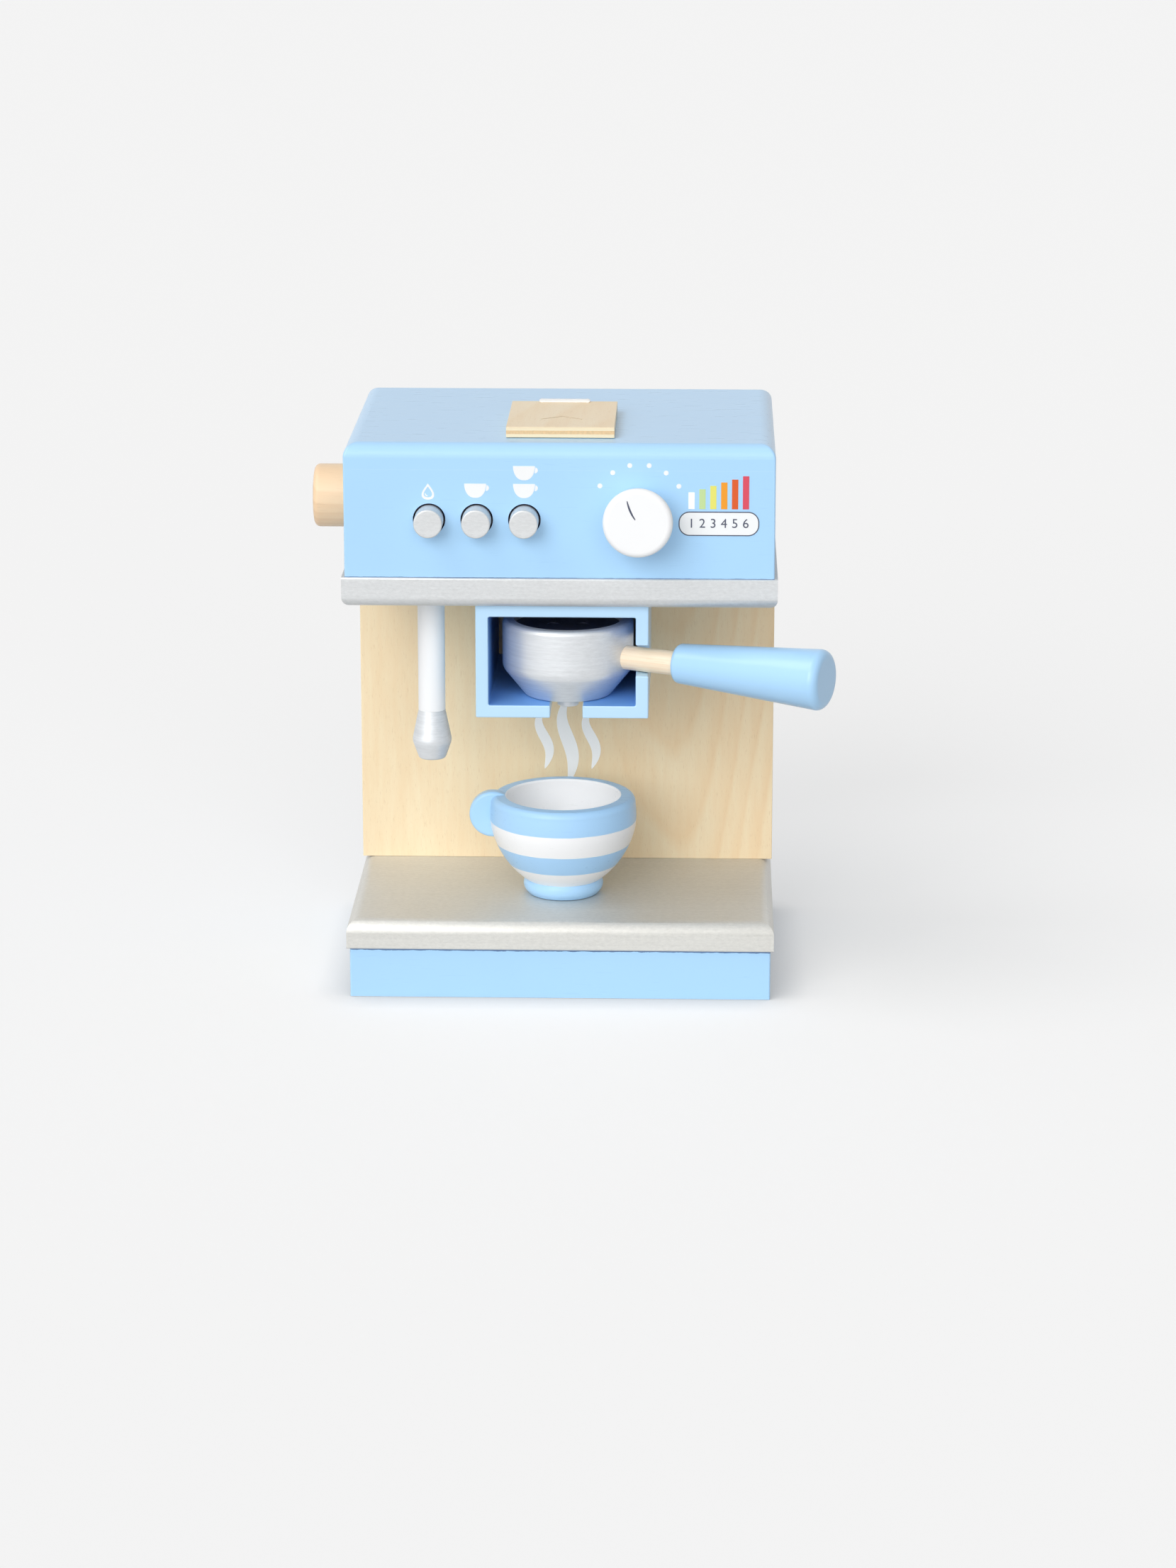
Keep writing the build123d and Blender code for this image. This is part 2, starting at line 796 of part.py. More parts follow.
def cup_outside():
    """The cup's outer line: the bevelled foot, the bowl's round wall and the bevel of the rim."""
    waist = bowl_point(cup_waist_height)
    shoulder = bowl_point(cup_shoulder_height)
    Polyline(
        (cup_foot_base_diameter / 2, 0),
        (cup_foot_diameter / 2, cup_foot_bevel),
        (cup_foot_diameter / 2, cup_waist_height - cup_foot_bevel),
        waist,
    )
    ThreePointArc(waist, (bowl_radius, cup_bowl_centre_height), shoulder)
    Line(shoulder, (cup_rim_radius, cup_height))


with BuildPart() as cup_body:
    with BuildSketch(cup_plane):
        with BuildLine():
            cup_outside()
            Polyline(
                (cup_rim_radius, cup_height),
                (cup_mouth_diameter / 2, cup_height),
                (cup_inside_base_diameter / 2, cup_floor_height),
                (0, cup_floor_height),
                (0, 0),
                (cup_foot_base_diameter / 2, 0),
            )
        make_face()
    revolve(axis=cup_axis)
finish(cup_body, "cup_body")

with BuildPart() as cup_form:
    with BuildSketch(cup_plane):
        with BuildLine():
            cup_outside()
            Polyline(
                (cup_rim_radius, cup_height), (0, cup_height), (0, 0), (cup_foot_base_diameter / 2, 0)
            )
        make_face()
    revolve(axis=cup_axis)

with BuildPart() as cup_handle:
    handle_centre = (cup_x - cup_handle_offset, cup_y, cup_base + cup_handle_height)
    with Locations(Location(handle_centre, (90, 0, 0))):
        Cylinder(cup_handle_radius, cup_handle_thickness)
    chamfer(cup_handle.edges().filter_by(GeomType.CIRCLE), cup_handle_chamfer)
    add(cup_form.part, mode=Mode.SUBTRACT)
finish(cup_handle, "cup_handle")
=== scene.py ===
"""Finish, prints, ribbon and stage of a wooden toy coffee maker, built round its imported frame."""

from math import cos, pi, radians, sin, tan

import bmesh
import bpy
from bpy.props import FloatProperty, FloatVectorProperty, IntProperty, PointerProperty
from mathutils import Matrix, Vector


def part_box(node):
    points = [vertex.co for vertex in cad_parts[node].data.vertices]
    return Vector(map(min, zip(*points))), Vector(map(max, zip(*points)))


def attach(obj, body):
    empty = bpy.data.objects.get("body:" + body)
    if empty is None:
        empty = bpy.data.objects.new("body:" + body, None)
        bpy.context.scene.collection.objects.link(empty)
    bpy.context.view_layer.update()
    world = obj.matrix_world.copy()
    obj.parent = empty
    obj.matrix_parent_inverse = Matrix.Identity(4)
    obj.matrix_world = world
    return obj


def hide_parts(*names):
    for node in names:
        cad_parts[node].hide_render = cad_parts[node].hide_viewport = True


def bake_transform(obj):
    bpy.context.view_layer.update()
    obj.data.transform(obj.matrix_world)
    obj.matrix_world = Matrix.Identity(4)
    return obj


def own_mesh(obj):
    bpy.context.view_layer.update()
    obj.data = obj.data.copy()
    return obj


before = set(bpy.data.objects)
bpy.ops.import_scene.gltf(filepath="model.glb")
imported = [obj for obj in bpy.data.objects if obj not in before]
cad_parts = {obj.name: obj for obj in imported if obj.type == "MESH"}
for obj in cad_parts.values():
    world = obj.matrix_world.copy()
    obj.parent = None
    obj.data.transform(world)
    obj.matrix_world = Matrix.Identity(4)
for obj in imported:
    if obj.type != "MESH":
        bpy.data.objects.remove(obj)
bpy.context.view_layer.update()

bl_info = {
    "name": "Toy coffee maker",
    "version": (1, 0, 0),
    "blender": (4, 5, 0),
    "location": "3D View > Sidebar > Coffee maker",
    "description": "Adds the finish, prints and ribbon of a wooden toy coffee maker and its stage",
    "category": "Object",
}

MM = 0.001
FULL_TURN = 2 * pi


def linear(red, green, blue):
    """A colour written as 0 to 255, as linear values."""
    shares = (value / 255 for value in (red, green, blue))
    return tuple(s / 12.92 if s <= 0.04045 else ((s + 0.055) / 1.055) ** 2.4 for s in shares)


def colour_property(name, description, rgb):
    """A colour setting with its default written as 0 to 255."""
    return FloatVectorProperty(
        name=name, description=description, subtype="COLOR", size=3, min=0, max=1,
        default=linear(*rgb),
    )


def length_property(name, description, millimetres):
    """A length setting with its default written in millimetres."""
    return FloatProperty(
        name=name, description=description, subtype="DISTANCE", unit="LENGTH", min=0,
        default=millimetres * MM,
    )


def strength_property(name, description, value):
    """The strength of a light."""
    return FloatProperty(name=name, description=description, default=value, min=0)


def angle_property(name, description, degrees):
    """An angle with its default written in degrees."""
    return FloatProperty(
        name=name, description=description, subtype="ANGLE", default=radians(degrees)
    )


class CoffeeMakerColours(bpy.types.PropertyGroup):
    """Paints, woods and inks of the toy."""

    blue: colour_property("Blue paint", "Satin paint of the boards", (173, 216, 251))
    pale_blue: colour_property("Pale blue paint", "Paint of the holder", (190, 225, 252))
    # Painted shade: a deeper blue on the holder's inner faces stands in for the shade inside it
    inside_blue: colour_property("Inside blue", "Deeper paint inside the holder", (122, 176, 240))
    cup_blue: colour_property("Cup blue", "Blue bands of the cup", (172, 214, 250))
    silver: colour_property("Silver paint", "Silver paint of the band and buttons", (212, 214, 215))
    # Silver paint of the tray, tinted warm with a painted reflection of the birch board behind it
    bright_silver: colour_property("Bright silver", "Silver paint of the tray", (214, 213, 208))
    turned_silver: colour_property("Turned silver", "Silver of the basket and nozzle", (221, 224, 227))
    # Painted light: the cup's inner white is paler than the white paint outside, to offset the shade
    # inside the cup
    lining: colour_property("Cup lining", "White paint inside the cup", (252, 252, 253))
    white: colour_property("White paint", "Paint of the dial and the wand", (245, 246, 247))
    dark: colour_property("Dark paint", "Disc inside the portafilter", (54, 58, 78))
    birch: colour_property("Birch face", "Face veneer of the plywood", (244, 227, 192))
    birch_grain: colour_property("Birch grain", "Darker grain of the veneer", (235, 197, 148))
    ply_core: colour_property("Ply core", "Darker inner layers of the plywood", (222, 188, 142))
    engraving: colour_property("Engraving", "Scorched wood of the engraving", (196, 178, 150))
    beech: colour_property("Beech", "Turned beech", (248, 217, 179))
    beech_grain: colour_property("Beech grain", "Darker grain of the beech", (236, 198, 157))
    neck: colour_property("Neck wood", "Pale wood of the portafilter's neck", (252, 243, 221))
    ribbon: colour_property("Ribbon", "White woven ribbon", (252, 252, 252))
    zinc: colour_property("Zinc", "Plated wire and screws", (196, 198, 202))
    # Painted shade for the seams below the head and above the plinth, and for the buttons' bores
    joint: colour_property("Joint", "Shade in the joints and bores", (48, 72, 128))
    ink: colour_property("Slate ink", "Dial pointer, numbers and the plate's outline", (75, 80, 100))
    white_ink: colour_property("White ink", "Printed signs on the front", (241, 243, 244))
    steam_ink: colour_property("Steam ink", "Printed steam on the back board", (252, 253, 254))
    floor: colour_property("Floor", "Plain pale floor", (245, 245, 245))


class CoffeeMakerSizes(bpy.types.PropertyGroup):
    """Small sizes that the finish adds."""

    print_relief: length_property("Print relief", "How far a print stands proud", 0.12)
    print_sink: length_property("Print sink", "How far a print reaches into the wood", 0.03)
    ribbon_thickness: length_property("Ribbon thickness", "Thickness of the hinge ribbon", 0.8)
    board_rounding: length_property("Board rounding", "Rounding of the holder's edges", 0.7)
    ply_rounding: length_property("Ply rounding", "Rounding of the back board's edges", 0.3)
    lid_rounding: length_property("Lid rounding", "Rounding of the lid's edges", 0.45)
    turning_segments: IntProperty(
        name="Turning segments", description="Segments round a turned piece",
        default=128, min=24,
    )


class CoffeeMakerStage(bpy.types.PropertyGroup):
    """Camera, lamps and floor."""

    camera_place: FloatVectorProperty(
        name="Camera place", description="Where the camera stands", subtype="XYZ",
        unit="LENGTH", default=(0.068, -2.0071, 0.6475),
    )
    camera_pitch: angle_property("Camera pitch", "How far the camera looks down", 14.6)
    camera_yaw: angle_property("Camera yaw", "How far the camera looks to the left", 1.62)
    camera_lens: FloatProperty(
        name="Lens", description="Focal length in millimetres on a 36 mm frame", default=98.01,
    )
    camera_shift: FloatProperty(
        name="Shift", description="Vertical shift of the frame", default=-0.05,
    )
    key_strength: strength_property("Key lamp", "Strength of the large soft lamp", 1.22)
    key_spread: angle_property("Key spread", "How wide the soft lamp looks", 38)
    front_strength: strength_property("Front lamp", "Strength of the wide lamp in front", 1.12)
    side_strength: strength_property("Side lamp", "Strength of the lamp high up at the left", 0.85)
    fill_strength: strength_property("Fill", "Strength of the even light from all round", 0.3)
    floor_glow: FloatProperty(
        name="Floor glow", description="Share of the floor's paleness that shadows leave",
        default=0.47, min=0, max=1,
    )


def colours():
    return bpy.context.scene.coffee_maker_colours


def sizes():
    return bpy.context.scene.coffee_maker_sizes


def stage_settings():
    return bpy.context.scene.coffee_maker_stage


# ---------------------------------------------------------------- Shader trees


class Tree:
    """Short calls for the nodes of one shader tree."""

    def __init__(self, tree):
        self.tree = tree

    def add(self, kind, inputs=None, **settings):
        """A node with its settings, and its inputs linked or set."""
        node = self.tree.nodes.new("ShaderNode" + kind)
        for key, value in settings.items():
            setattr(node, key, value)
        for key, value in (inputs or {}).items():
            self.feed(node.inputs[key], value)
        return node

    def feed(self, socket, value):
        """Link a socket to another, or set its value; a colour gets its fourth value."""
        if isinstance(value, bpy.types.NodeSocket):
            self.tree.links.new(value, socket)
        elif socket.type == "RGBA":
            socket.default_value = (*value[:3], 1.0)
        else:
            socket.default_value = value

    def maths(self, operation, first, second=0.0, clamp=False):
        node = self.add("Math", {0: first, 1: second}, operation=operation, use_clamp=clamp)
        return node.outputs[0]

    def times(self, first, second):
        return self.maths("MULTIPLY", first, second)

    def plus(self, first, second):
        return self.maths("ADD", first, second)

    def minus(self, first, second):
        return self.maths("SUBTRACT", first, second)

    def part(self, position, axis):
        """One coordinate of a position."""
        return self.add("SeparateXYZ", {0: position}).outputs[axis]

    def vector(self, operation, first, second=(0.0, 0.0, 0.0)):
        node = self.add("VectorMath", {0: first, 1: second}, operation=operation)
        return node.outputs["Value" if operation in ("LENGTH", "DOT_PRODUCT") else "Vector"]

    def scaled(self, position, factors):
        return self.vector("MULTIPLY", position, factors)

    def noise(self, position, scale, detail=2.0, roughness=0.5):
        node = self.add(
            "TexNoise", {"Vector": position, "Scale": scale, "Detail": detail, "Roughness": roughness}
        )
        return node.outputs["Fac"]

    def spread(self, value, low, high, to_low=0.0, to_high=1.0):
        node = self.add(
            "MapRange", {0: value, 1: low, 2: high, 3: to_low, 4: to_high}, clamp=True
        )
        return node.outputs[0]

    def mix(self, factor, first, second, blend="MIX"):
        node = self.add("Mix", data_type="RGBA", blend_type=blend)
        self.feed(node.inputs[0], factor)
        self.feed(node.inputs[6], first)
        self.feed(node.inputs[7], second)
        return node.outputs[2]

    def shaded(self, colour, shade):
        """A colour times a shade."""
        return self.mix(1.0, colour, shade, "MULTIPLY")

    def bump(self, height, depth):
        node = self.add("Bump", {"Height": height, "Strength": 1.0, "Distance": depth})
        return node.outputs["Normal"]

    def group(self, tree, position, **inputs):
        """An instance of a shared node group at a position."""
        node = self.tree.nodes.new("ShaderNodeGroup")
        node.node_tree = tree
        self.feed(node.inputs["Position"], position)
        for key, value in inputs.items():
            self.feed(node.inputs[key.replace("_", " ")], value)
        return node.outputs


def seen_directly(t):
    """1 for camera, mirror and transmission rays, and 0 for light that bounces on."""
    rays = t.add("LightPath").outputs
    seen = t.maths("MAXIMUM", rays["Is Camera Ray"], rays["Is Glossy Ray"])
    return t.maths("MAXIMUM", seen, rays["Is Transmission Ray"])


def node_group(name, inputs, outputs):
    """An empty shader node group: its tree, the inputs' sockets and the output node."""
    tree = bpy.data.node_groups.new(name, "ShaderNodeTree")
    for socket_name, kind, default in inputs:
        socket = tree.interface.new_socket(
            socket_name, in_out="INPUT", socket_type="NodeSocket" + kind
        )
        if default is not None:
            socket.default_value = default
    for socket_name, kind in outputs:
        tree.interface.new_socket(socket_name, in_out="OUTPUT", socket_type="NodeSocket" + kind)
    given = tree.nodes.new("NodeGroupInput").outputs
    wanted = tree.nodes.new("NodeGroupOutput").inputs
    return tree, given, wanted


def shared(build):
    """Build a node group the first time it is asked for."""

    def get():
        name = build.__name__.replace("_", " ")
        return bpy.data.node_groups.get(name) or build(name)

    return get


@shared
def satin_paint_finish(name):
    """Faint mottling, brush marks and orange peel of sprayed and brushed paint."""
    tree, given, wanted = node_group(
        name,
        [("Position", "Vector", None), ("Roughness", "Float", 0.4), ("Mottle", "Float", 0.02)],
        [("Shade", "Float"), ("Roughness", "Float"), ("Height", "Float")],
    )
    t = Tree(tree)
    cloud = t.noise(given["Position"], 28.0, 3.0)
    grain = t.noise(t.scaled(given["Position"], (60.0, 900.0, 900.0)), 1.0, 3.0, 0.6)
    peel = t.noise(given["Position"], 1500.0, 2.0)
    spots = t.spread(t.noise(given["Position"], 420.0, 2.0), 0.68, 0.78)
    mottle = t.times(t.minus(cloud, 0.5), given["Mottle"])
    t.feed(wanted["Shade"], t.plus(1.0, t.times(mottle, 2.0)))
    varied = t.times(t.minus(grain, 0.5), 0.16)
    rough = t.plus(given["Roughness"], t.plus(varied, t.times(spots, 0.06)))
    t.feed(wanted["Roughness"], rough)
    ridges = t.times(grain, 0.3)
    t.feed(wanted["Height"], t.plus(ridges, t.times(peel, 0.45)))
    return tree


@shared
def edge_wear(name):
    """Mask of the edges where paint is thin, broken up along their length."""
    tree, given, wanted = node_group(
        name,
        [("Position", "Vector", None), ("Width", "Float", 0.0006), ("Amount", "Float", 0.5)],
        [("Mask", "Float")],
    )
    t = Tree(tree)
    rounded = t.add("Bevel", {"Radius": given["Width"]}, samples=4).outputs["Normal"]
    flat = t.add("NewGeometry").outputs["Normal"]
    bend = t.minus(1.0, t.vector("DOT_PRODUCT", rounded, flat))
    edge = t.spread(bend, 0.02, 0.22)
    broken = t.spread(t.noise(given["Position"], 160.0, 4.0, 0.65), 0.42, 0.62)
    worn = t.times(edge, t.plus(0.35, t.times(broken, 0.65)))
    t.feed(wanted["Mask"], t.maths("MULTIPLY", worn, given["Amount"], clamp=True))
    return tree


@shared
def joint_line(name):
    """Mask of a fine level line of painted shade where painted boards meet others, uneven along its
    length.
    """
    tree, given, wanted = node_group(
        name,
        [("Position", "Vector", None), ("Level", "Float", 0.0), ("Width", "Float", 0.0003)],
        [("Mask", "Float")],
    )
    t = Tree(tree)
    height = t.part(given["Position"], "Z")
    off = t.maths("ABSOLUTE", t.minus(height, given["Level"]))
    uneven = t.spread(t.noise(given["Position"], 210.0, 3.0, 0.6), 0.3, 0.7, 0.6, 1.2)
    reach = t.times(given["Width"], uneven)
    t.feed(wanted["Mask"], t.times(t.maths("LESS_THAN", off, reach), 0.75))
    return tree


@shared
def wood_grain(name):
    """Growth rings about local Z, with short dark pores along it."""
    tree, given, wanted = node_group(
        name,
        [("Position", "Vector", None), ("Ring Width", "Float", 0.004), ("Wobble", "Float", 0.006)],
        [("Rings", "Float"), ("Pores", "Float"), ("Cloud", "Float"), ("Height", "Float")],
    )
    t = Tree(tree)
    slow = t.scaled(given["Position"], (14.0, 14.0, 3.0))
    drift = t.add("TexNoise", {"Vector": slow, "Scale": 1.0, "Detail": 2.0}).outputs["Color"]
    centred = t.vector("SUBTRACT", drift, (0.5, 0.5, 0.5))
    shift = t.add("VectorMath", {0: centred, "Scale": given["Wobble"]}, operation="SCALE").outputs[0]
    moved = t.scaled(t.vector("ADD", given["Position"], shift), (1.0, 1.0, 0.0))
    radius = t.vector("LENGTH", moved)
    phase = t.maths("FRACT", t.maths("DIVIDE", radius, given["Ring Width"]))
    rise = t.spread(phase, 0.0, 0.82)
    fall = t.spread(phase, 0.82, 1.0, 1.0, 0.0)
    rings = t.times(t.maths("POWER", rise, 1.6), fall)
    pores = t.noise(t.scaled(given["Position"], (2200.0, 2200.0, 110.0)), 1.0, 2.0, 0.6)
    fibres = t.noise(t.scaled(given["Position"], (900.0, 900.0, 14.0)), 1.0, 3.0, 0.6)
    pits = t.spread(pores, 0.6, 0.72)
    t.feed(wanted["Rings"], rings)
    t.feed(wanted["Pores"], pits)
    broad = t.noise(t.scaled(given["Position"], (48.0, 48.0, 6.0)), 1.0, 5.0, 0.65)
    narrow = t.noise(t.scaled(given["Position"], (330.0, 330.0, 11.0)), 1.0, 3.0, 0.6)
    streaks = t.plus(t.times(broad, 0.62), t.times(narrow, 0.38))
    t.feed(wanted["Cloud"], t.spread(streaks, 0.34, 0.66))
    depth = t.minus(t.times(fibres, 0.6), t.times(pits, 0.5))
    t.feed(wanted["Height"], depth)
    return tree


@shared
def brushed_streaks(name):
    """Fine streaks that a brush leaves along local X in silver paint."""
    tree, given, wanted = node_group(
        name,
        [("Position", "Vector", None), ("Roughness", "Float", 0.4)],
        [("Shade", "Float"), ("Roughness", "Float"), ("Height", "Float")],
    )
    t = Tree(tree)
    fine = t.noise(t.scaled(given["Position"], (18.0, 1500.0, 1500.0)), 1.0, 3.0, 0.6)
    broad = t.noise(t.scaled(given["Position"], (7.0, 240.0, 240.0)), 1.0, 3.0, 0.5)
    flakes = t.noise(t.scaled(given["Position"], (420.0, 900.0, 900.0)), 1.0, 3.0, 0.75)
    streak = t.plus(t.times(fine, 0.6), t.times(broad, 0.4))
    centred = t.minus(streak, 0.5)
    glint = t.times(t.minus(flakes, 0.5), 0.32)
    shade = t.plus(t.times(centred, 0.22), glint)
    t.feed(wanted["Shade"], t.plus(1.0, shade))
    t.feed(wanted["Roughness"], t.plus(given["Roughness"], t.times(centred, 0.3)))
    t.feed(wanted["Height"], t.plus(streak, t.times(flakes, 0.5)))
    return tree


@shared
def turned_position(name):
    """Position for turned pieces: Y is the radius, Z stays, and X drifts round the axis."""
    tree, given, wanted = node_group(name, [("Position", "Vector", None)], [("Position", "Vector")])
    t = Tree(tree)
    parts = t.add("SeparateXYZ", {0: given["Position"]}).outputs
    radius = t.vector("LENGTH", t.scaled(given["Position"], (1.0, 1.0, 0.0)))
    lean = t.times(t.plus(parts["X"], parts["Y"]), 0.35)
    unrolled = t.add("CombineXYZ", {"X": lean, "Y": radius, "Z": parts["Z"]}).outputs[0]
    t.feed(wanted["Position"], unrolled)
    return tree


class Finish:
    """A material with a Principled shader, its tree and its object coordinates."""

    def __init__(self, name, **constants):
        self.material = bpy.data.materials.new(name)
        self.material.use_nodes = True
        self.tree = Tree(self.material.node_tree)
        self.material.node_tree.nodes.clear()
        self.shader = self.tree.add("BsdfPrincipled")
        out = self.tree.add("OutputMaterial")
        self.tree.feed(out.inputs["Surface"], self.shader.outputs[0])
        self.position = self.tree.add("TexCoord").outputs["Object"]
        for key, value in constants.items():
            self.shader.inputs[key.replace("_", " ")].default_value = value

    def mapped(self, place=(0, 0, 0), turn=(0, 0, 0)):
        """Object coordinates moved and turned."""
        node = self.tree.add(
            "Mapping", {"Vector": self.position, "Location": place, "Rotation": turn}
        )
        return node.outputs[0]

    def wear(self, surface, colour=None, roughness=None, height=None, depth=0.00001):
        """Feed the shader's varying sockets from a node group's outputs."""
        if colour is not None:
            self.tree.feed(self.shader.inputs["Base Color"], colour)
        self.tree.feed(self.shader.inputs["Roughness"], roughness or surface["Roughness"])
        normal = self.tree.bump(height or surface["Height"], depth)
        self.tree.feed(self.shader.inputs["Normal"], normal)


def once(build):
    """Build a material the first time it is asked for."""

    def get(*arguments):
        name = " ".join([build.__name__.replace("_", " "), *[str(a) for a in arguments]])
        return bpy.data.materials.get(name) or build(name, *arguments)

    return get


# Radius of the bores' painted shade and half heights of the painted shade lines at the seams, in
# millimetres; the line over the plinth is wider, as it also paints the shadow under the tray's
# overhang
BORE_RADIUS = 7.55
BAND_JOINT = 0.3
TRAY_JOINT = 0.95


def painted(name, rgb, roughness=0.4, mottle=0.02, worn=0.0, joints=False, **constants):
    """Satin paint over wood, paler on worn edges, with painted shade along the seams and in the
    buttons' bores.
    """
    finish = Finish(name, **constants)
    t = finish.tree
    surface = t.group(satin_paint_finish(), finish.position, Roughness=roughness, Mottle=mottle)
    colour = t.shaded(rgb, surface["Shade"])
    if worn:
        wear = t.group(edge_wear(), finish.position, Amount=worn)
        thin = tuple(value + (1 - value) * 0.45 for value in rgb)
        colour = t.mix(wear["Mask"], colour, thin)
    # Painted shade: dark lines along the seam under the head and the seam over the plinth
    if joints:
        under_head, over_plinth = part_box("band_board")[1].z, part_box("tray_board")[0].z
        for level, width in ((under_head, BAND_JOINT), (over_plinth, TRAY_JOINT)):
            joint = t.group(joint_line(), finish.position, Level=level, Width=width * MM)
            colour = t.mix(joint["Mask"], colour, colours().joint)
        depth = t.part(finish.position, "Y")
        in_front_board = t.maths("LESS_THAN", depth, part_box("head_front")[1].y + MM)
        # Painted shade in the buttons' bores, round the gap about each button
        for number in (1, 2, 3):
            centre = tuple(placed(f"button_{number}")[2])
            axis = t.scaled(t.vector("SUBTRACT", finish.position, centre), (1, 0, 1))
            bore_shade = t.maths("LESS_THAN", t.vector("LENGTH", axis), BORE_RADIUS * MM)
            bore_shade = t.times(bore_shade, in_front_board)
            colour = t.mix(bore_shade, colour, colours().joint)
    finish.wear(surface, colour, depth=0.00002)
    return finish.material


@once
def blue_paint(name):
    return painted(name, colours().blue, roughness=0.3, worn=0.3, joints=True, Coat_Weight=0.45,
                   Coat_Roughness=0.28, Specular_IOR_Level=0.25)


@once
def pale_blue_paint(name):
    return painted(name, colours().pale_blue, roughness=0.36, worn=0.3, Coat_Weight=0.45,
                   Coat_Roughness=0.24, Specular_IOR_Level=0.25)


@once
def turned_blue_paint(name):
    return painted(name, colours().blue, roughness=0.34, worn=0.3, Coat_Weight=0.5,
                   Coat_Roughness=0.24, Specular_IOR_Level=0.25)


# Paint of the holder's inner faces, deepened as painted shade
@once
def inside_paint(name):
    return painted(name, colours().inside_blue, roughness=0.4, Specular_IOR_Level=0.15)


@once
def white_paint(name):
    return painted(name, colours().white, roughness=0.38, mottle=0.01)


# Inner white of the cup, painted paler than the outer white as painted light
@once
def cup_lining(name):
    return painted(name, colours().lining, roughness=0.3, mottle=0.01)


@once
def dark_paint(name):
    return painted(name, colours().dark, roughness=0.42, mottle=0.1)


@once
def print_ink(name, key):
    """Flat silk-screen ink in one of the named colours."""
    rgb = BAR_COLOURS[key] if key in BAR_COLOURS else getattr(colours(), key)
    return painted(name, rgb, roughness=0.5, mottle=0.03)


@once
def silver_board(name, key):
    """Silver paint brushed along the boards."""
    finish = Finish(name, Metallic=0.6)
    t = finish.tree
    surface = t.group(brushed_streaks(), finish.position, Roughness=0.52)
    colour = t.shaded(getattr(colours(), key), surface["Shade"])
    finish.wear(surface, colour, depth=0.00008)
    return finish.material


@once
def silver_turned(name):
    """Silver paint on turned wood, with rings round the axis."""
    finish = Finish(name, Metallic=0.62)
    t = finish.tree
    position = t.group(turned_position(), finish.position)["Position"]
    surface = t.group(brushed_streaks(), position, Roughness=0.5)
    colour = t.shaded(colours().turned_silver, surface["Shade"])
    finish.wear(surface, colour, depth=0.00004)
    return finish.material


def wooden(name, pale, grain, place, turn, ring_width, wobble, roughness=0.45, contrast=0.8,
           figure=None):
    """Lacquered wood with its rings about a line that place and turn set.

    A figure of (from X, to X, weak, strong) lets the rings show more from one side to the other.
    """
    finish = Finish(name, Coat_Weight=0.35, Coat_Roughness=0.22)
    t = finish.tree
    wood = t.group(wood_grain(), finish.mapped(place, turn), Ring_Width=ring_width, Wobble=wobble)
    if figure:
        across = t.part(finish.position, "X")
        contrast = t.spread(across, *figure)
    ringed = t.times(wood["Rings"], contrast)
    clouded = t.mix(t.times(wood["Cloud"], 0.42), pale, grain)
    colour = t.mix(ringed, clouded, grain)
    pore = tuple(value * 0.78 for value in grain)
    colour = t.mix(t.times(wood["Pores"], 0.3), colour, pore)
    rough = t.plus(roughness, t.times(wood["Rings"], 0.1))
    finish.wear(wood, colour, rough, depth=0.00004)
    return finish, colour


@once
def turned_beech(name):
    """Beech turned along local Z."""
    return wooden(
        name, colours().beech, colours().beech_grain, (0.03, 0.045, 0), (0.05, 0.02, 0),
        0.0035, 0.006, contrast=0.55,
    )[0].material


@once
def neck_wood(name):
    """Pale dowel, its grain along the handle."""
    direction = handle_direction()
    turn = direction.to_track_quat("Z", "Y").inverted().to_euler()
    return wooden(
        name, colours().neck, colours().beech_grain, (0.02, 0.035, 0), tuple(turn),
        0.0022, 0.004, contrast=0.25,
    )[0].material


@once
def plywood(name, node, axis):
    """Birch plywood of a board whose layers lie across one axis."""
    index = "XYZ".index(axis)
    low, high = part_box(node)
    thickness = high[index] - low[index]
    layers = 3 if thickness < 5.5 * MM else 5
    turn = (radians(6), 0, 0) if axis == "Y" else (radians(94), 0, radians(3))
    finish, face = wooden(
        name, colours().birch, colours().birch_grain, (-0.052, 0.03, 0.0), turn,
        0.0052, 0.013, contrast=0.2, figure=(0.0, 0.05, 0.06, 0.4) if axis == "Y" else None,
    )
    t = finish.tree
    across = t.part(finish.position, index)
    share = t.spread(across, low[index], high[index])
    ragged = t.noise(t.scaled(finish.position, (260.0, 260.0, 260.0)), 1.0, 3.0, 0.6)
    share = t.plus(share, t.times(t.minus(ragged, 0.5), 0.05))
    phase = t.maths("PINGPONG", t.times(share, layers), 1.0)
    band = t.maths("FLOORED_MODULO", t.maths("FLOOR", t.times(share, layers)), 2.0)
    speck = t.noise(t.scaled(finish.position, (900.0, 900.0, 900.0)), 1.0, 2.0)
    core = t.mix(t.spread(speck, 0.35, 0.65), colours().ply_core, colours().birch_grain)
    pale_layer = t.mix(t.times(phase, 0.2), colours().birch, colours().birch_grain)
    edge = t.mix(band, pale_layer, core)
    own_normal = t.add("TexCoord").outputs["Normal"]
    facing = t.maths("ABSOLUTE", t.part(own_normal, index))
    on_face = t.spread(facing, 0.55, 0.75)
    t.feed(finish.shader.inputs["Base Color"], t.mix(on_face, edge, face))
    return finish.material


@once
def engraved_wood(name):
    """Lightly scorched groove of an engraving."""
    return painted(name, colours().engraving, roughness=0.6, mottle=0.2)


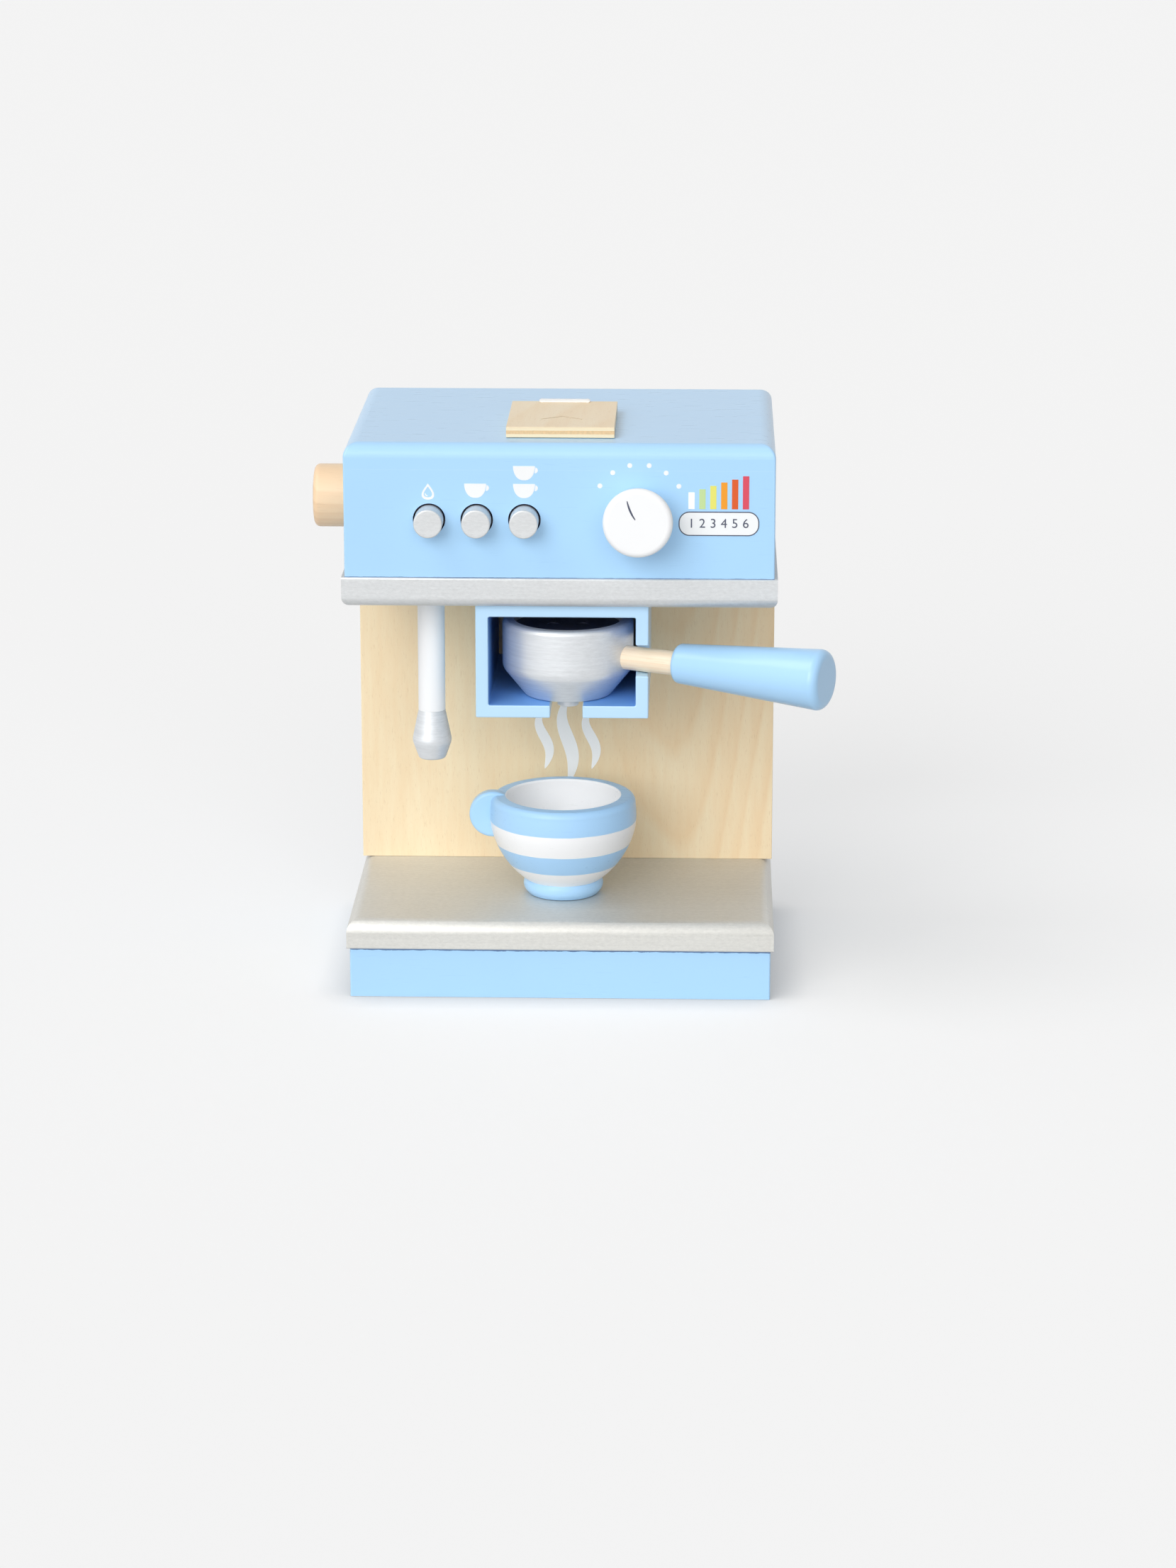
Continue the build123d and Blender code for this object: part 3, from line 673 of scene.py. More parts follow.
@once
def striped_cup(name):
    """The painted bands round the cup."""
    finish = Finish(name, Specular_IOR_Level=0.35)
    t = finish.tree
    surface = t.group(satin_paint_finish(), finish.position, Roughness=0.3, Mottle=0.015)
    waver = t.minus(t.noise(finish.position, 90.0, 2.0), 0.5)
    height = t.part(finish.position, "Z")
    height = t.plus(height, t.times(waver, 0.5 * MM))
    white_bands = [
        t.times(t.spread(height, low * MM - CUP_BAND_BLEND, low * MM + CUP_BAND_BLEND),
                t.spread(height, high * MM - CUP_BAND_BLEND, high * MM + CUP_BAND_BLEND, 1.0, 0.0))
        for low, high in CUP_WHITE_BANDS
    ]
    mask = t.maths("MAXIMUM", *white_bands)
    colour = t.mix(mask, colours().cup_blue, colours().white)
    colour = t.shaded(colour, surface["Shade"])
    finish.wear(surface, colour, depth=0.00002)
    return finish.material


@once
def woven_ribbon(name):
    """Fine plain weave of a narrow ribbon."""
    finish = Finish(name, Roughness=0.85, Sheen_Weight=0.3, Sheen_Roughness=0.5)
    t = finish.tree
    parts = t.add("SeparateXYZ", {0: finish.position}).outputs
    warp = t.maths("SINE", t.times(parts["X"], FULL_TURN / (0.5 * MM)))
    along = t.plus(parts["Y"], parts["Z"])
    weft = t.maths("SINE", t.times(along, FULL_TURN / (0.45 * MM)))
    weave = t.times(t.times(warp, weft), 0.5)
    fuzz = t.noise(finish.position, 3000.0, 2.0)
    height = t.plus(weave, t.times(fuzz, 0.4))
    shade = t.spread(height, -0.4, 0.8, 0.9, 1.0)
    colour = t.shaded(colours().ribbon, shade)
    t.feed(finish.shader.inputs["Base Color"], colour)
    t.feed(finish.shader.inputs["Normal"], t.bump(height, 0.00006))
    return finish.material


@once
def zinc_steel(name):
    """Bright plated wire and screws."""
    finish = Finish(name, Metallic=1.0)
    t = finish.tree
    surface = t.group(brushed_streaks(), finish.position, Roughness=0.28)
    colour = t.shaded(colours().zinc, surface["Shade"])
    finish.wear(surface, colour, depth=0.00001)
    return finish.material


# ---------------------------------------------------------------- Outlines and meshes


def arc(start, through, end, count=16):
    """Points of the circle through three points, both ends included."""
    (ax, ay), (bx, by), (cx, cy) = start, through, end
    d = 2 * (ax * (by - cy) + bx * (cy - ay) + cx * (ay - by))
    a2, b2, c2 = ax * ax + ay * ay, bx * bx + by * by, cx * cx + cy * cy
    centre = Vector(((a2 * (by - cy) + b2 * (cy - ay) + c2 * (ay - by)) / d,
                     (a2 * (cx - bx) + b2 * (ax - cx) + c2 * (bx - ax)) / d))
    spokes = [Vector(point) - centre for point in (start, through, end)]
    angles = [0.0, *(spokes[0].angle_signed(spoke) for spoke in spokes[1:])]
    turn = angles[2]
    if turn * angles[1] < 0 or abs(angles[1]) > abs(turn):
        turn -= FULL_TURN if turn > 0 else -FULL_TURN
    points = []
    for index in range(count + 1):
        angle = -turn * index / count
        points.append(tuple(centre + Matrix.Rotation(angle, 2) @ spokes[0]))
    return points


def rounded(corners, step=radians(7)):
    """An open outline through corners of (x, y) or (x, y, rounding)."""
    points = [tuple(corners[0][:2])]
    for before, corner, after in zip(corners, corners[1:], corners[2:]):
        here = Vector(corner[:2])
        if len(corner) < 3:
            points.append(tuple(here))
            continue
        inward = (Vector(before[:2]) - here).normalized()
        onward = (Vector(after[:2]) - here).normalized()
        half = inward.angle(onward) / 2
        reach = corner[2] / tan(half)
        middle = here + (inward + onward).normalized() * corner[2] / sin(half)
        start = here + inward * reach - middle
        turn = start.angle_signed(here + onward * reach - middle)
        count = max(2, round(abs(turn) / step))
        for index in range(count + 1):
            points.append(tuple(middle + Matrix.Rotation(-turn * index / count, 2) @ start))
    points.append(tuple(corners[-1][:2]))
    return points


def circle(x, y, radius, count=40):
    """A closed round outline."""
    return [
        (x + radius * cos(FULL_TURN * index / count), y + radius * sin(FULL_TURN * index / count))
        for index in range(count)
    ]


def rectangle(x, y, width, height, rounding):
    """A closed outline with round corners about a middle point."""
    w, h = width / 2, height / 2
    start = (x, y - h)
    ring = [start, (x + w, y - h, rounding), (x + w, y + h, rounding), (x - w, y + h, rounding),
            (x - w, y - h, rounding), start]
    return rounded(ring)[:-1]


def linked(name, data):
    """A new object in the scene."""
    thing = bpy.data.objects.new(name, data)
    bpy.context.scene.collection.objects.link(thing)
    return thing


def finished_mesh(name, shaper):
    """The mesh that a shaper holds; the shaper is freed."""
    mesh = bpy.data.meshes.new(name)
    shaper.to_mesh(mesh)
    shaper.free()
    return mesh


def add_object(name, mesh, *materials):
    """A new object of the toy with its materials."""
    thing = linked(name, mesh)
    for material in materials:
        thing.data.materials.append(material)
    return thing


def smooth(mesh, crease=radians(32)):
    """Smooth shading with creases where faces meet at more than this angle."""
    shaper = bmesh.new()
    shaper.from_mesh(mesh)
    bmesh.ops.remove_doubles(shaper, verts=shaper.verts, dist=1e-7)
    bmesh.ops.recalc_face_normals(shaper, faces=shaper.faces)
    for face in shaper.faces:
        face.smooth = True
    for edge in shaper.edges:
        edge.smooth = len(edge.link_faces) == 2 and edge.calc_face_angle() < crease
    shaper.to_mesh(mesh)
    shaper.free()
    return mesh


def weigh_normals(thing):
    """Keep flat faces flat beside their roundings."""
    modifier = thing.modifiers.new("Even normals", "WEIGHTED_NORMAL")
    modifier.keep_sharp = True
    return thing


def turned(name, outline, place, axis, *materials, segments=None):
    """A solid turned from (radius, height) points in millimetres about an axis at a place."""
    count = segments or sizes().turning_segments
    shaper = bmesh.new()
    rings = []
    for radius, height in outline:
        if radius < 1e-6:
            rings.append([shaper.verts.new((0, 0, height * MM))])
            continue
        rings.append([
            shaper.verts.new((radius * MM * cos(FULL_TURN * i / count),
                              radius * MM * sin(FULL_TURN * i / count), height * MM))
            for i in range(count)
        ])
    for lower, upper in zip(rings, rings[1:]):
        for i in range(count):
            j = (i + 1) % count
            corners = [lower[i % len(lower)], lower[j % len(lower)],
                       upper[j % len(upper)], upper[i % len(upper)]]
            distinct = list(dict.fromkeys(corners))
            if len(distinct) > 2:
                shaper.faces.new(distinct)
    thing = add_object(name, smooth(finished_mesh(name, shaper)), *materials)
    turn = Vector(axis).to_track_quat("Z", "Y").to_matrix().to_4x4()
    thing.matrix_world = Matrix.Translation(place) @ turn
    return weigh_normals(thing)


def dress(thing, body, slot_name, *nodes):
    """Let a piece ride on its body and stand for CAD nodes; slot_name is not used."""
    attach(thing, body)
    if nodes:
        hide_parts(*nodes)
    return thing


def evaluated_mesh(thing):
    """The object's mesh with its modifiers applied."""
    bpy.context.view_layer.update()
    depsgraph = bpy.context.evaluated_depsgraph_get()
    return bpy.data.meshes.new_from_object(thing.evaluated_get(depsgraph))


def box_object(name, low, high):
    """A plain box between two corners in millimetres, used to cut or be cut."""
    shaper = bmesh.new()
    bmesh.ops.create_cube(shaper, size=1.0)
    size = [b - a for a, b in zip(low, high)]
    middle = [(a + b) / 2 for a, b in zip(low, high)]
    bmesh.ops.scale(shaper, vec=Vector(size) * MM, verts=shaper.verts)
    bmesh.ops.translate(shaper, vec=Vector(middle) * MM, verts=shaper.verts)
    return add_object(name, finished_mesh(name, shaper))


def cut(thing, cutters):
    """Take the cutters out of an object's mesh for good."""
    for cutter in cutters:
        modifier = thing.modifiers.new("Cut", "BOOLEAN")
        modifier.operation = "DIFFERENCE"
        modifier.solver = "EXACT"
        modifier.object = cutter
    mesh = evaluated_mesh(thing)
    materials = list(thing.data.materials)
    thing.modifiers.clear()
    thing.data = mesh
    mesh.materials.clear()
    for material in materials:
        mesh.materials.append(material)
    for cutter in cutters:
        bpy.data.objects.remove(cutter)
    return thing


def round_edges(thing, width, segments=3, angle=radians(40)):
    """Round an object's sharp edges with geometry."""
    modifier = thing.modifiers.new("Rounded edges", "BEVEL")
    modifier.width = width
    modifier.segments = segments
    modifier.limit_method = "ANGLE"
    modifier.angle_limit = angle
    modifier.miter_outer = "MITER_ARC"
    return modifier


def rounded_board(name, low, high, cutters, rounding, *materials):
    """A board between two corners in millimetres with pockets cut out and its edges rounded."""
    thing = box_object(name, low, high)
    for material in materials:
        thing.data.materials.append(material)
    if cutters:
        cut(thing, cutters)
    round_edges(thing, rounding)
    thing.data = evaluated_mesh(thing)
    thing.modifiers.clear()
    smooth(thing.data)
    return weigh_normals(thing)


def node_box(*nodes):
    """Lowest and highest corner of one or more CAD nodes, in millimetres."""
    boxes = [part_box(node) for node in nodes]
    low = [min(box[0][i] for box in boxes) / MM for i in range(3)]
    high = [max(box[1][i] for box in boxes) / MM for i in range(3)]
    return low, high


def placed(node):
    """Lowest corner, highest corner and middle of a CAD node."""
    low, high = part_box(node)
    return low, high, (low + high) / 2


def print_mesh(name, outlines):
    """A thin closed print from closed outlines; one inside another leaves a hole."""
    curve = bpy.data.curves.new(name, "CURVE")
    curve.dimensions = "2D"
    curve.fill_mode = "BOTH"
    for outline in outlines:
        spline = curve.splines.new("POLY")
        spline.points.add(len(outline) - 1)
        for point, (x, y) in zip(spline.points, outline):
            point.co = (x * MM, y * MM, 0, 1)
        spline.use_cyclic_u = True
    return thick_mesh(curve)


def thick_mesh(curve):
    """A filled curve as a closed mesh that stands proud of z = 0 and reaches a little below."""
    relief, sink = sizes().print_relief, sizes().print_sink
    curve.extrude = (relief + sink) / 2
    holder = linked(curve.name, curve)
    mesh = evaluated_mesh(holder)
    bpy.data.objects.remove(holder)
    mesh.transform(Matrix.Translation((0, 0, (relief - sink) / 2)))
    return smooth(mesh)


def number_mesh(text, x, y, height):
    """A plain number as a print, centred on a point."""
    curve = bpy.data.curves.new("number", "FONT")
    curve.body = text
    curve.size = height * MM / 0.7
    curve.align_x = "CENTER"
    curve.align_y = "CENTER"
    mesh = thick_mesh(curve)
    mesh.transform(Matrix.Translation((x * MM, y * MM, 0)))
    return mesh


def joined(name, meshes, *materials):
    """Several meshes as one object."""
    shaper = bmesh.new()
    for mesh in meshes:
        shaper.from_mesh(mesh)
        bpy.data.meshes.remove(mesh)
    mesh = finished_mesh(name, shaper)
    mesh.materials.clear()
    return add_object(name, mesh, *materials)


def printed(name, meshes, ink, face_y, slot_name, body="case"):
    """Flat prints in one ink as one piece, stood up on a face that looks to the front."""
    thing = joined(name, meshes, print_ink(ink))
    thing.data.transform(Matrix.Rotation(radians(90), 4, "X"))
    thing.data.transform(Matrix.Translation((0, face_y, 0)))
    return dress(thing, body, slot_name)


def stroke(points, widths):
    """A closed outline along points, as wide as given at each of them."""
    left, right = [], []
    for index, point in enumerate(points):
        before = Vector(points[max(index - 1, 0)])
        after = Vector(points[min(index + 1, len(points) - 1)])
        along = (after - before).normalized()
        side = Vector((-along.y, along.x)) * widths[index] / 2
        left.append(tuple(Vector(point) + side))
        right.append(tuple(Vector(point) - side))
    return left + right[::-1]


# ---------------------------------------------------------------- Turned pieces

# Lower and upper edge of each white band above the cup's foot, in millimetres
CUP_WHITE_BANDS = ((7.35, 15.45), (25.45, 36.55))
CUP_BAND_BLEND = 0.00008


def handle_direction():
    """Unit vector along the portafilter's handle, level and away from the basket.

    The neck is a dowel as thick as its box is high, so the box gives its length and its turn,
    found in rounds. They take the turn for its own sine, which leaves it slightly too small.
    """
    low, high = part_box("filter_neck")
    width, depth = high.x - low.x, high.y - low.y
    thickness = high.z - low.z
    yaw = 0.0
    for _ in range(30):
        length = (width - thickness * sin(yaw)) / cos(yaw)
        yaw = (depth - thickness * cos(yaw)) / length
    return Vector((cos(yaw), -sin(yaw), 0))


class COFFEE_MAKER_OT_cup(bpy.types.Operator):
    """Turned cup with painted bands and its round flat handle"""

    bl_idname = "coffee_maker.cup"
    bl_label = "Cup"

    def execute(self, context):
        low, _, middle = placed("cup_body")
        place = (middle.x, middle.y, low.z)
        outside = [
            *rounded([(0, 0), (17.0, 0, 0.8), (17.6, 0.9)])[:-1],
            *arc((17.6, 0.9), (19.2, 3.7), (18.3, 7.3)),
            *arc((18.4, 7.4), (28.3, 17.6), (34.9, 33.0), 28)[1:],
            *arc((34.9, 33.0), (35.3, 39.0), (34.9, 44.6), 10)[1:],
            *arc((34.9, 44.6), (34.3, 47.0), (32.3, 48.4), 10)[1:],
        ]
        inside = [
            *arc((28.3, 48.5), (27.6, 48.2), (27.3, 47.5), 5),
            *arc((27.3, 47.5), (25.9, 30.0), (17.0, 17.4), 20)[1:],
            *arc((17.0, 17.4), (15.0, 16.7), (12.0, 16.5), 4)[1:],
            (0, 16.5),
        ]
        cup = turned("cup", outside + inside, place, (0, 0, 1), striped_cup(), cup_lining())
        # Inward faces and the inner floor get the white that is painted paler to offset their shade
        for face in cup.data.polygons:
            outward = face.center.copy()
            outward.z = 0
            looks_in = face.normal.dot(outward) < -0.3 * outward.length * face.normal.length
            bottom = face.normal.z > 0.7 and face.center.z < 20 * MM
            face.material_index = int((looks_in and face.center.z > 16 * MM) or bottom)
        dress(cup, "cup", "cup_paint", "cup_body")
        form = turned("cup_form", [*outside, (0, 48.4)], place, (0, 0, 1))
        form.modifiers.clear()
        form.matrix_world = form.matrix_world @ Matrix.Scale(0.998, 4)
        low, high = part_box("cup_handle")
        thickness = (high.y - low.y) / MM
        radius = (high.z - low.z) / MM / 2
        centre = (low.x + radius * MM, high.y, (low.z + high.z) / 2)
        edge = 1.7
        disc = turned(
            "cup_ear",
            rounded([(0, 0), (radius, 0, edge), (radius, thickness, edge), (0, thickness)]),
            centre, (0, -1, 0), turned_blue_paint(),
        )
        disc.modifiers.clear()
        cut(disc, [form])
        smooth(disc.data)
        weigh_normals(disc)
        dress(disc, "cup", "blue_paint", "cup_handle")
        return {"FINISHED"}


class COFFEE_MAKER_OT_dial(bpy.types.Operator):
    """Big white dial with its pointer stroke"""

    bl_idname = "coffee_maker.dial"
    bl_label = "Dial"

    def execute(self, context):
        low, high, middle = placed("dial")
        depth = (high.y - low.y) / MM
        outline = rounded([
            (0, 9), (4.05, 9), (4.05, 0), (12.5, 0, 0.4), (16.75, depth, 2.6), (0, depth),
        ])
        dial = turned("dial_knob", outline, (middle.x, high.y, middle.z), (0, -1, 0), white_paint())
        dress(dial, "dial", "white_paint", "dial")
        points = arc((-1.15, 1.9), (-3.4, 5.9), (-4.9, 10.7), 14)
        widths = [0.2 + 0.65 * sin(pi * (0.06 + 0.88 * index / 14)) ** 0.7 for index in range(15)]
        centre_x, centre_z = middle.x / MM, middle.z / MM
        outline = stroke([(x + centre_x, z + centre_z) for x, z in points], widths)
        pointer = print_mesh("pointer", [outline])
        printed("dial_pointer", [pointer], "ink", low.y, "dark_paint", "dial")
        return {"FINISHED"}


class COFFEE_MAKER_OT_steam_knob(bpy.types.Operator):
    """Plain beech knob on the left side"""

    bl_idname = "coffee_maker.steam_knob"
    bl_label = "Steam knob"

    def execute(self, context):
        low, high, middle = placed("steam_knob")
        radius = (high.z - low.z) / MM / 2
        depth = (high.x - low.x) / MM
        outline = rounded([
            (0, 9), (4.05, 9), (4.05, 0), (radius, 0, 0.9), (radius, depth, 2.8), (0, depth),
        ])
        knob = turned("steam_tap", outline, (high.x, middle.y, middle.z), (-1, 0, 0), turned_beech())
        dress(knob, "steam_knob", "beech", "steam_knob")
        return {"FINISHED"}


class COFFEE_MAKER_OT_wand_tip(bpy.types.Operator):
    """Silver nozzle at the end of the steam wand"""

    bl_idname = "coffee_maker.wand_tip"
    bl_label = "Wand tip"

    def execute(self, context):
        low, _, middle = placed("wand_tip")
        tube_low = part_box("wand_tube")[0]
        length = (tube_low.z - low.z) / MM
        outline = rounded([
            (0, 0), (6.3, 0, 1.5), (9.5, 9.0, 5.5), (6.4, length, 0.3), (3.0, length),
            (3.0, length + 9.0), (0, length + 9.0),
        ])
        tip = turned("wand_nozzle", outline, (middle.x, middle.y, low.z), (0, 0, 1), silver_turned())
        dress(tip, "case", "silver_paint", "wand_tip")
        return {"FINISHED"}


class COFFEE_MAKER_OT_portafilter(bpy.types.Operator):
    """Silver basket, its spout and the turned grip"""

    bl_idname = "coffee_maker.portafilter"
    bl_label = "Portafilter"

    base_radius = 20.5
    cone_height = 13.2
    recess_radius = 25.0
    recess_depth = 4.5
    bore_radius = 3.05
    bore_depth = 10.25
    grip_start = 57.0
    grip_length = 76.0
    grip_socket = 12.0

    def execute(self, context):
        low, high, middle = placed("filter_basket")
        height = (high.z - low.z) / MM
        radius = (high.x - low.x) / MM / 2
        floor = height - self.recess_depth
        outline = rounded([
            (0, self.bore_depth), (self.bore_radius, self.bore_depth), (self.bore_radius, 0),
            (self.base_radius, 0, 1.2), (radius, self.cone_height, 6.0), (radius, height, 2.3),
            (self.recess_radius, height, 0.9), (self.recess_radius, floor), (0, floor),
        ])
        place = (middle.x, middle.y, low.z)
        basket = turned("basket", outline, place, (0, 0, 1), silver_turned())
        dress(basket, "portafilter", "silver_paint", "filter_basket")

        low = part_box("filter_spout")[0]
        outline = rounded([
            (0, 0), (5.1, 0, 0.6), (5.1, 6.0, 0.4), (3.0, 6.0), (3.0, 16.25), (0, 16.25),
        ])
        place = (middle.x, middle.y, low.z)
        spout = turned("spout_peg", outline, place, (0, 0, 1), silver_turned())
        dress(spout, "spout", "silver_paint", "filter_spout")

        direction = handle_direction()
        height = placed("filter_neck")[2].z
        start = Vector((middle.x, middle.y, height)) + direction * self.grip_start * MM
        outline = rounded([
            (0, self.grip_socket), (5.8, self.grip_socket), (5.8, 0), (9.25, 0, 2.4),
            (14.5, self.grip_length, 4.0), (0, self.grip_length),
        ])
        grip = turned("grip", outline, start, direction, turned_blue_paint())
        dress(grip, "portafilter", "blue_paint", "filter_grip")
        return {"FINISHED"}


class COFFEE_MAKER_OT_buttons(bpy.types.Operator):
    """Three push buttons with the springs behind them"""

    bl_idname = "coffee_maker.buttons"
    bl_label = "Buttons"

    radius = 6.7
    flange_radius = 9.5
    flange_thickness = 3.0
    bore_radius = 3.7
    bore_depth = 12.0

    def execute(self, context):
        for number in (1, 2, 3):
            node = f"button_{number}"
            low, high, middle = placed(node)
            length = (high.y - low.y) / MM
            outline = rounded([
                (0, self.bore_depth), (self.bore_radius, self.bore_depth), (self.bore_radius, 0),
                (self.flange_radius, 0, 0.3), (self.flange_radius, self.flange_thickness, 0.3),
                (self.radius, self.flange_thickness), (self.radius, length, 0.7), (0, length),
            ])
            place = (middle.x, high.y, middle.z)
            peg = turned(f"push_button_{number}", outline, place, (0, -1, 0),
                         silver_board("silver"), segments=72)
            dress(peg, node, "silver_paint", node)
            self.coil(number)
        return {"FINISHED"}

    def coil(self, number):
        """A round wire spring behind its button."""
        low, high, middle = placed(f"spring_{number}")
        wire, turns, sides, steps = 0.45 * MM, 7, 8, 20
        radius = (high.x - low.x) / 2 - wire
        rings = turns * steps
        travel = (high.y - low.y) - 2 * wire
        shaper = bmesh.new()
        hoops = []
        for index in range(rings + 1):
            angle = FULL_TURN * index / steps
            y = low.y + wire + travel * index / rings
            outward = Vector((cos(angle), 0, sin(angle)))
            centre = Vector((middle.x, y, middle.z)) + outward * radius
            hoops.append([
                shaper.verts.new(centre + (outward * cos(a) + Vector((0, 1, 0)) * sin(a)) * wire)
                for a in (FULL_TURN * side / sides for side in range(sides))
            ])
        for hoop, following in zip(hoops, hoops[1:]):
            for side in range(sides):
                after = (side + 1) % sides
                shaper.faces.new((hoop[side], hoop[after], following[after], following[side]))
        shaper.faces.new(hoops[0][::-1])
        shaper.faces.new(hoops[-1])
        wound = smooth(finished_mesh("spring", shaper), radians(60))
        spring = add_object(f"spring_coil_{number}", wound, zinc_steel())
        dress(spring, "case", "steel", f"spring_{number}")
        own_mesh(spring)


class COFFEE_MAKER_OT_holder(bpy.types.Operator):
    """Slotted box that the portafilter slides into"""

    bl_idname = "coffee_maker.holder"
    bl_label = "Holder"

    wall = 6.0
    notch_height = 14.7
    notch_drop = 19.3
    notch_back_y = -37.5
    slot_width = 15.2
    slot_back_y = -36.4

    def execute(self, context):
        low, high = node_box("holder_top", "holder_left", "holder_right", "holder_bottom")
        filter_x = placed("filter_spout")[2].x / MM
        wall, past = self.wall, 5.0
        tunnel = box_object("tunnel", (low[0] + wall, low[1] - past, low[2] + wall),
                            (high[0] - wall, high[1] + past, high[2] - wall))
        notch_top = high[2] - self.notch_drop
        notch_bottom = notch_top - self.notch_height
        notch = box_object("notch", (high[0] - wall - past, low[1] - past, notch_bottom),
                           (high[0] + past, self.notch_back_y, notch_top))
        slot = box_object("slot", (filter_x - self.slot_width / 2, low[1] - past, low[2] - past),
                          (filter_x + self.slot_width / 2, self.slot_back_y, low[2] + wall + past))
        frame_piece = rounded_board("holder_frame", low, high, [tunnel, notch, slot],
                                    sizes().board_rounding, pale_blue_paint(), inside_paint())
        # Faces inside the tunnel get the blue that is painted in shade
        for face in frame_piece.data.polygons:
            x, _, z = face.center / MM
            within = low[0] + wall - 0.1 < x < high[0] - wall + 0.1 and \
                low[2] + wall - 0.1 < z < high[2] - wall + 0.1
            face.material_index = int(within and abs(face.normal.y) < 0.5)
        dress(frame_piece, "case", "blue_paint",
              "holder_top", "holder_left", "holder_right", "holder_bottom")
        return {"FINISHED"}


class COFFEE_MAKER_OT_rear_screws(bpy.types.Operator):
    """Countersunk cross-head screws of the rear panel"""

    bl_idname = "coffee_maker.rear_screws"
    bl_label = "Rear screws"

    def execute(self, context):
        low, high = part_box("rear_screws")
        head, head_height, shank, length = 3.0, 2.2, 1.5, (high.y - low.y) / MM
        wide, narrow, deep = 1.9, 0.4, 1.2
        outline = rounded([
            (0, 0), (shank, 0), (shank, length - head_height), (head, length - 0.05, 0.15),
            (0, length),
        ])
        meshes = []
        for x in (low.x + head * MM, high.x - head * MM):
            for z in (low.z + head * MM, high.z - head * MM):
                screw = turned("screw", outline, (x, low.y, z), (0, 1, 0), segments=40)
                screw.modifiers.clear()
                centre = Vector((x, high.y, z)) / MM
                bars = [
                    box_object("bar", centre - Vector((w, deep, h)), centre + Vector((w, deep, h)))
                    for w, h in ((wide, narrow), (narrow, wide))
                ]
                cut(screw, bars)
                mesh = screw.data
                mesh.transform(screw.matrix_world)
                bpy.data.objects.remove(screw)
                meshes.append(smooth(mesh))
        screws = joined("panel_screws", meshes, zinc_steel())
        dress(screws, "case", "steel", "rear_screws")
        return {"FINISHED"}


# ---------------------------------------------------------------- Ribbon hinge


class COFFEE_MAKER_OT_ribbon(bpy.types.Operator):
    """Woven ribbon glued into the head's slot and over the lid's back edge"""

    bl_idname = "coffee_maker.ribbon"
    bl_label = "Ribbon hinge"

    across = 24

    def execute(self, context):
        tail_low, tail_high = node_box("ribbon_tail")
        leaf_low, leaf_high = node_box("ribbon_leaf")
        lid_low, lid_high = node_box("lid")
        half = sizes().ribbon_thickness / MM / 2
        tail_y = (tail_low[1] + tail_high[1]) / 2
        behind = lid_high[1] + half + 0.1
        over = lid_high[2] + half + 0.05
        crown = over + 0.4
        corners = [
            (tail_y, tail_low[2] + 0.2), (tail_y, lid_low[2] + 0.3, 0.9),
            (behind, lid_low[2] + 1.3, 0.9), (behind, crown, 0.85), (lid_high[1] - 1.4, crown, 1.0),
            (lid_high[1] - 2.4, over, 1.0), (leaf_low[1] + 0.1, over),
        ]
        line = rounded(corners, radians(12))
        path = self.finely(line)
        width = (leaf_high[0] - leaf_low[0]) / 2 - 0.1
        mesh = self.strip(path, width, half)
        ribbon = add_object("hinge_ribbon", smooth(mesh, radians(60)), woven_ribbon())
        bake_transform(ribbon)
        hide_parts("ribbon_tail", "ribbon_leaf")
        return {"FINISHED"}

    @staticmethod
    def finely(line, step=0.35):
        """The same line with points no further apart than a step."""
        points = [line[0]]
        for start, end in zip(line, line[1:]):
            gap = (Vector(end) - Vector(start)).length
            count = max(1, round(gap / step))
            points += [tuple(Vector(start).lerp(Vector(end), i / count)) for i in range(1, count + 1)]
        return points

    def strip(self, path, width, half):
        """A thin closed strip along (y, z) points, with a thicker selvage on each side."""
        shaper = bmesh.new()
        rings = []
        for index, (y, z) in enumerate(path):
            before = Vector(path[max(index - 1, 0)])
            after = Vector(path[min(index + 1, len(path) - 1)])
            along = (after - before).normalized()
            out = Vector((-along.y, along.x))
            top, bottom = [], []
            for step in range(self.across + 1):
                share = 2 * step / self.across - 1
                selvage = 1.0 if abs(share) < 0.9 else 1.25 - 1.1 * max(0, abs(share) - 0.97) / 0.03
                thick = half * max(selvage, 0.15)
                x = share * width
                top.append(shaper.verts.new(Vector((x, y + out.x * thick, z + out.y * thick)) * MM))
                bottom.append(shaper.verts.new(Vector((x, y - out.x * thick, z - out.y * thick)) * MM))
            rings.append(top + bottom[::-1])
        count = len(rings[0])
        for ring, following in zip(rings, rings[1:]):
            for i in range(count):
                j = (i + 1) % count
                shaper.faces.new((ring[i], ring[j], following[j], following[i]))
        shaper.faces.new(rings[0])
        shaper.faces.new(rings[-1][::-1])
        return finished_mesh("ribbon", shaper)


# ---------------------------------------------------------------- Prints

BAR_COLOURS = {
    "bar_1": linear(252, 253, 254),
    "bar_2": linear(194, 219, 154),
    "bar_3": linear(230, 226, 110),
    "bar_4": linear(240, 156, 36),
    "bar_5": linear(218, 90, 30),
    "bar_6": linear(216, 74, 94),
}
BAR_FIRST_X = 61.2
BAR_PITCH = 5.02
BAR_WIDTH = 2.9
BAR_BOTTOM = 238.2
BAR_HEIGHTS = (7.9, 9.4, 11.0, 12.6, 14.0, 15.6)
# Middle x and z, width, height and rounding of the number plate
PLATE = (73.9, 231.3, 37.3, 11.5, 5.1)
PLATE_LINE = 0.5
NUMBER_HEIGHT = 4.3
NUMBER_RISE = 0.6


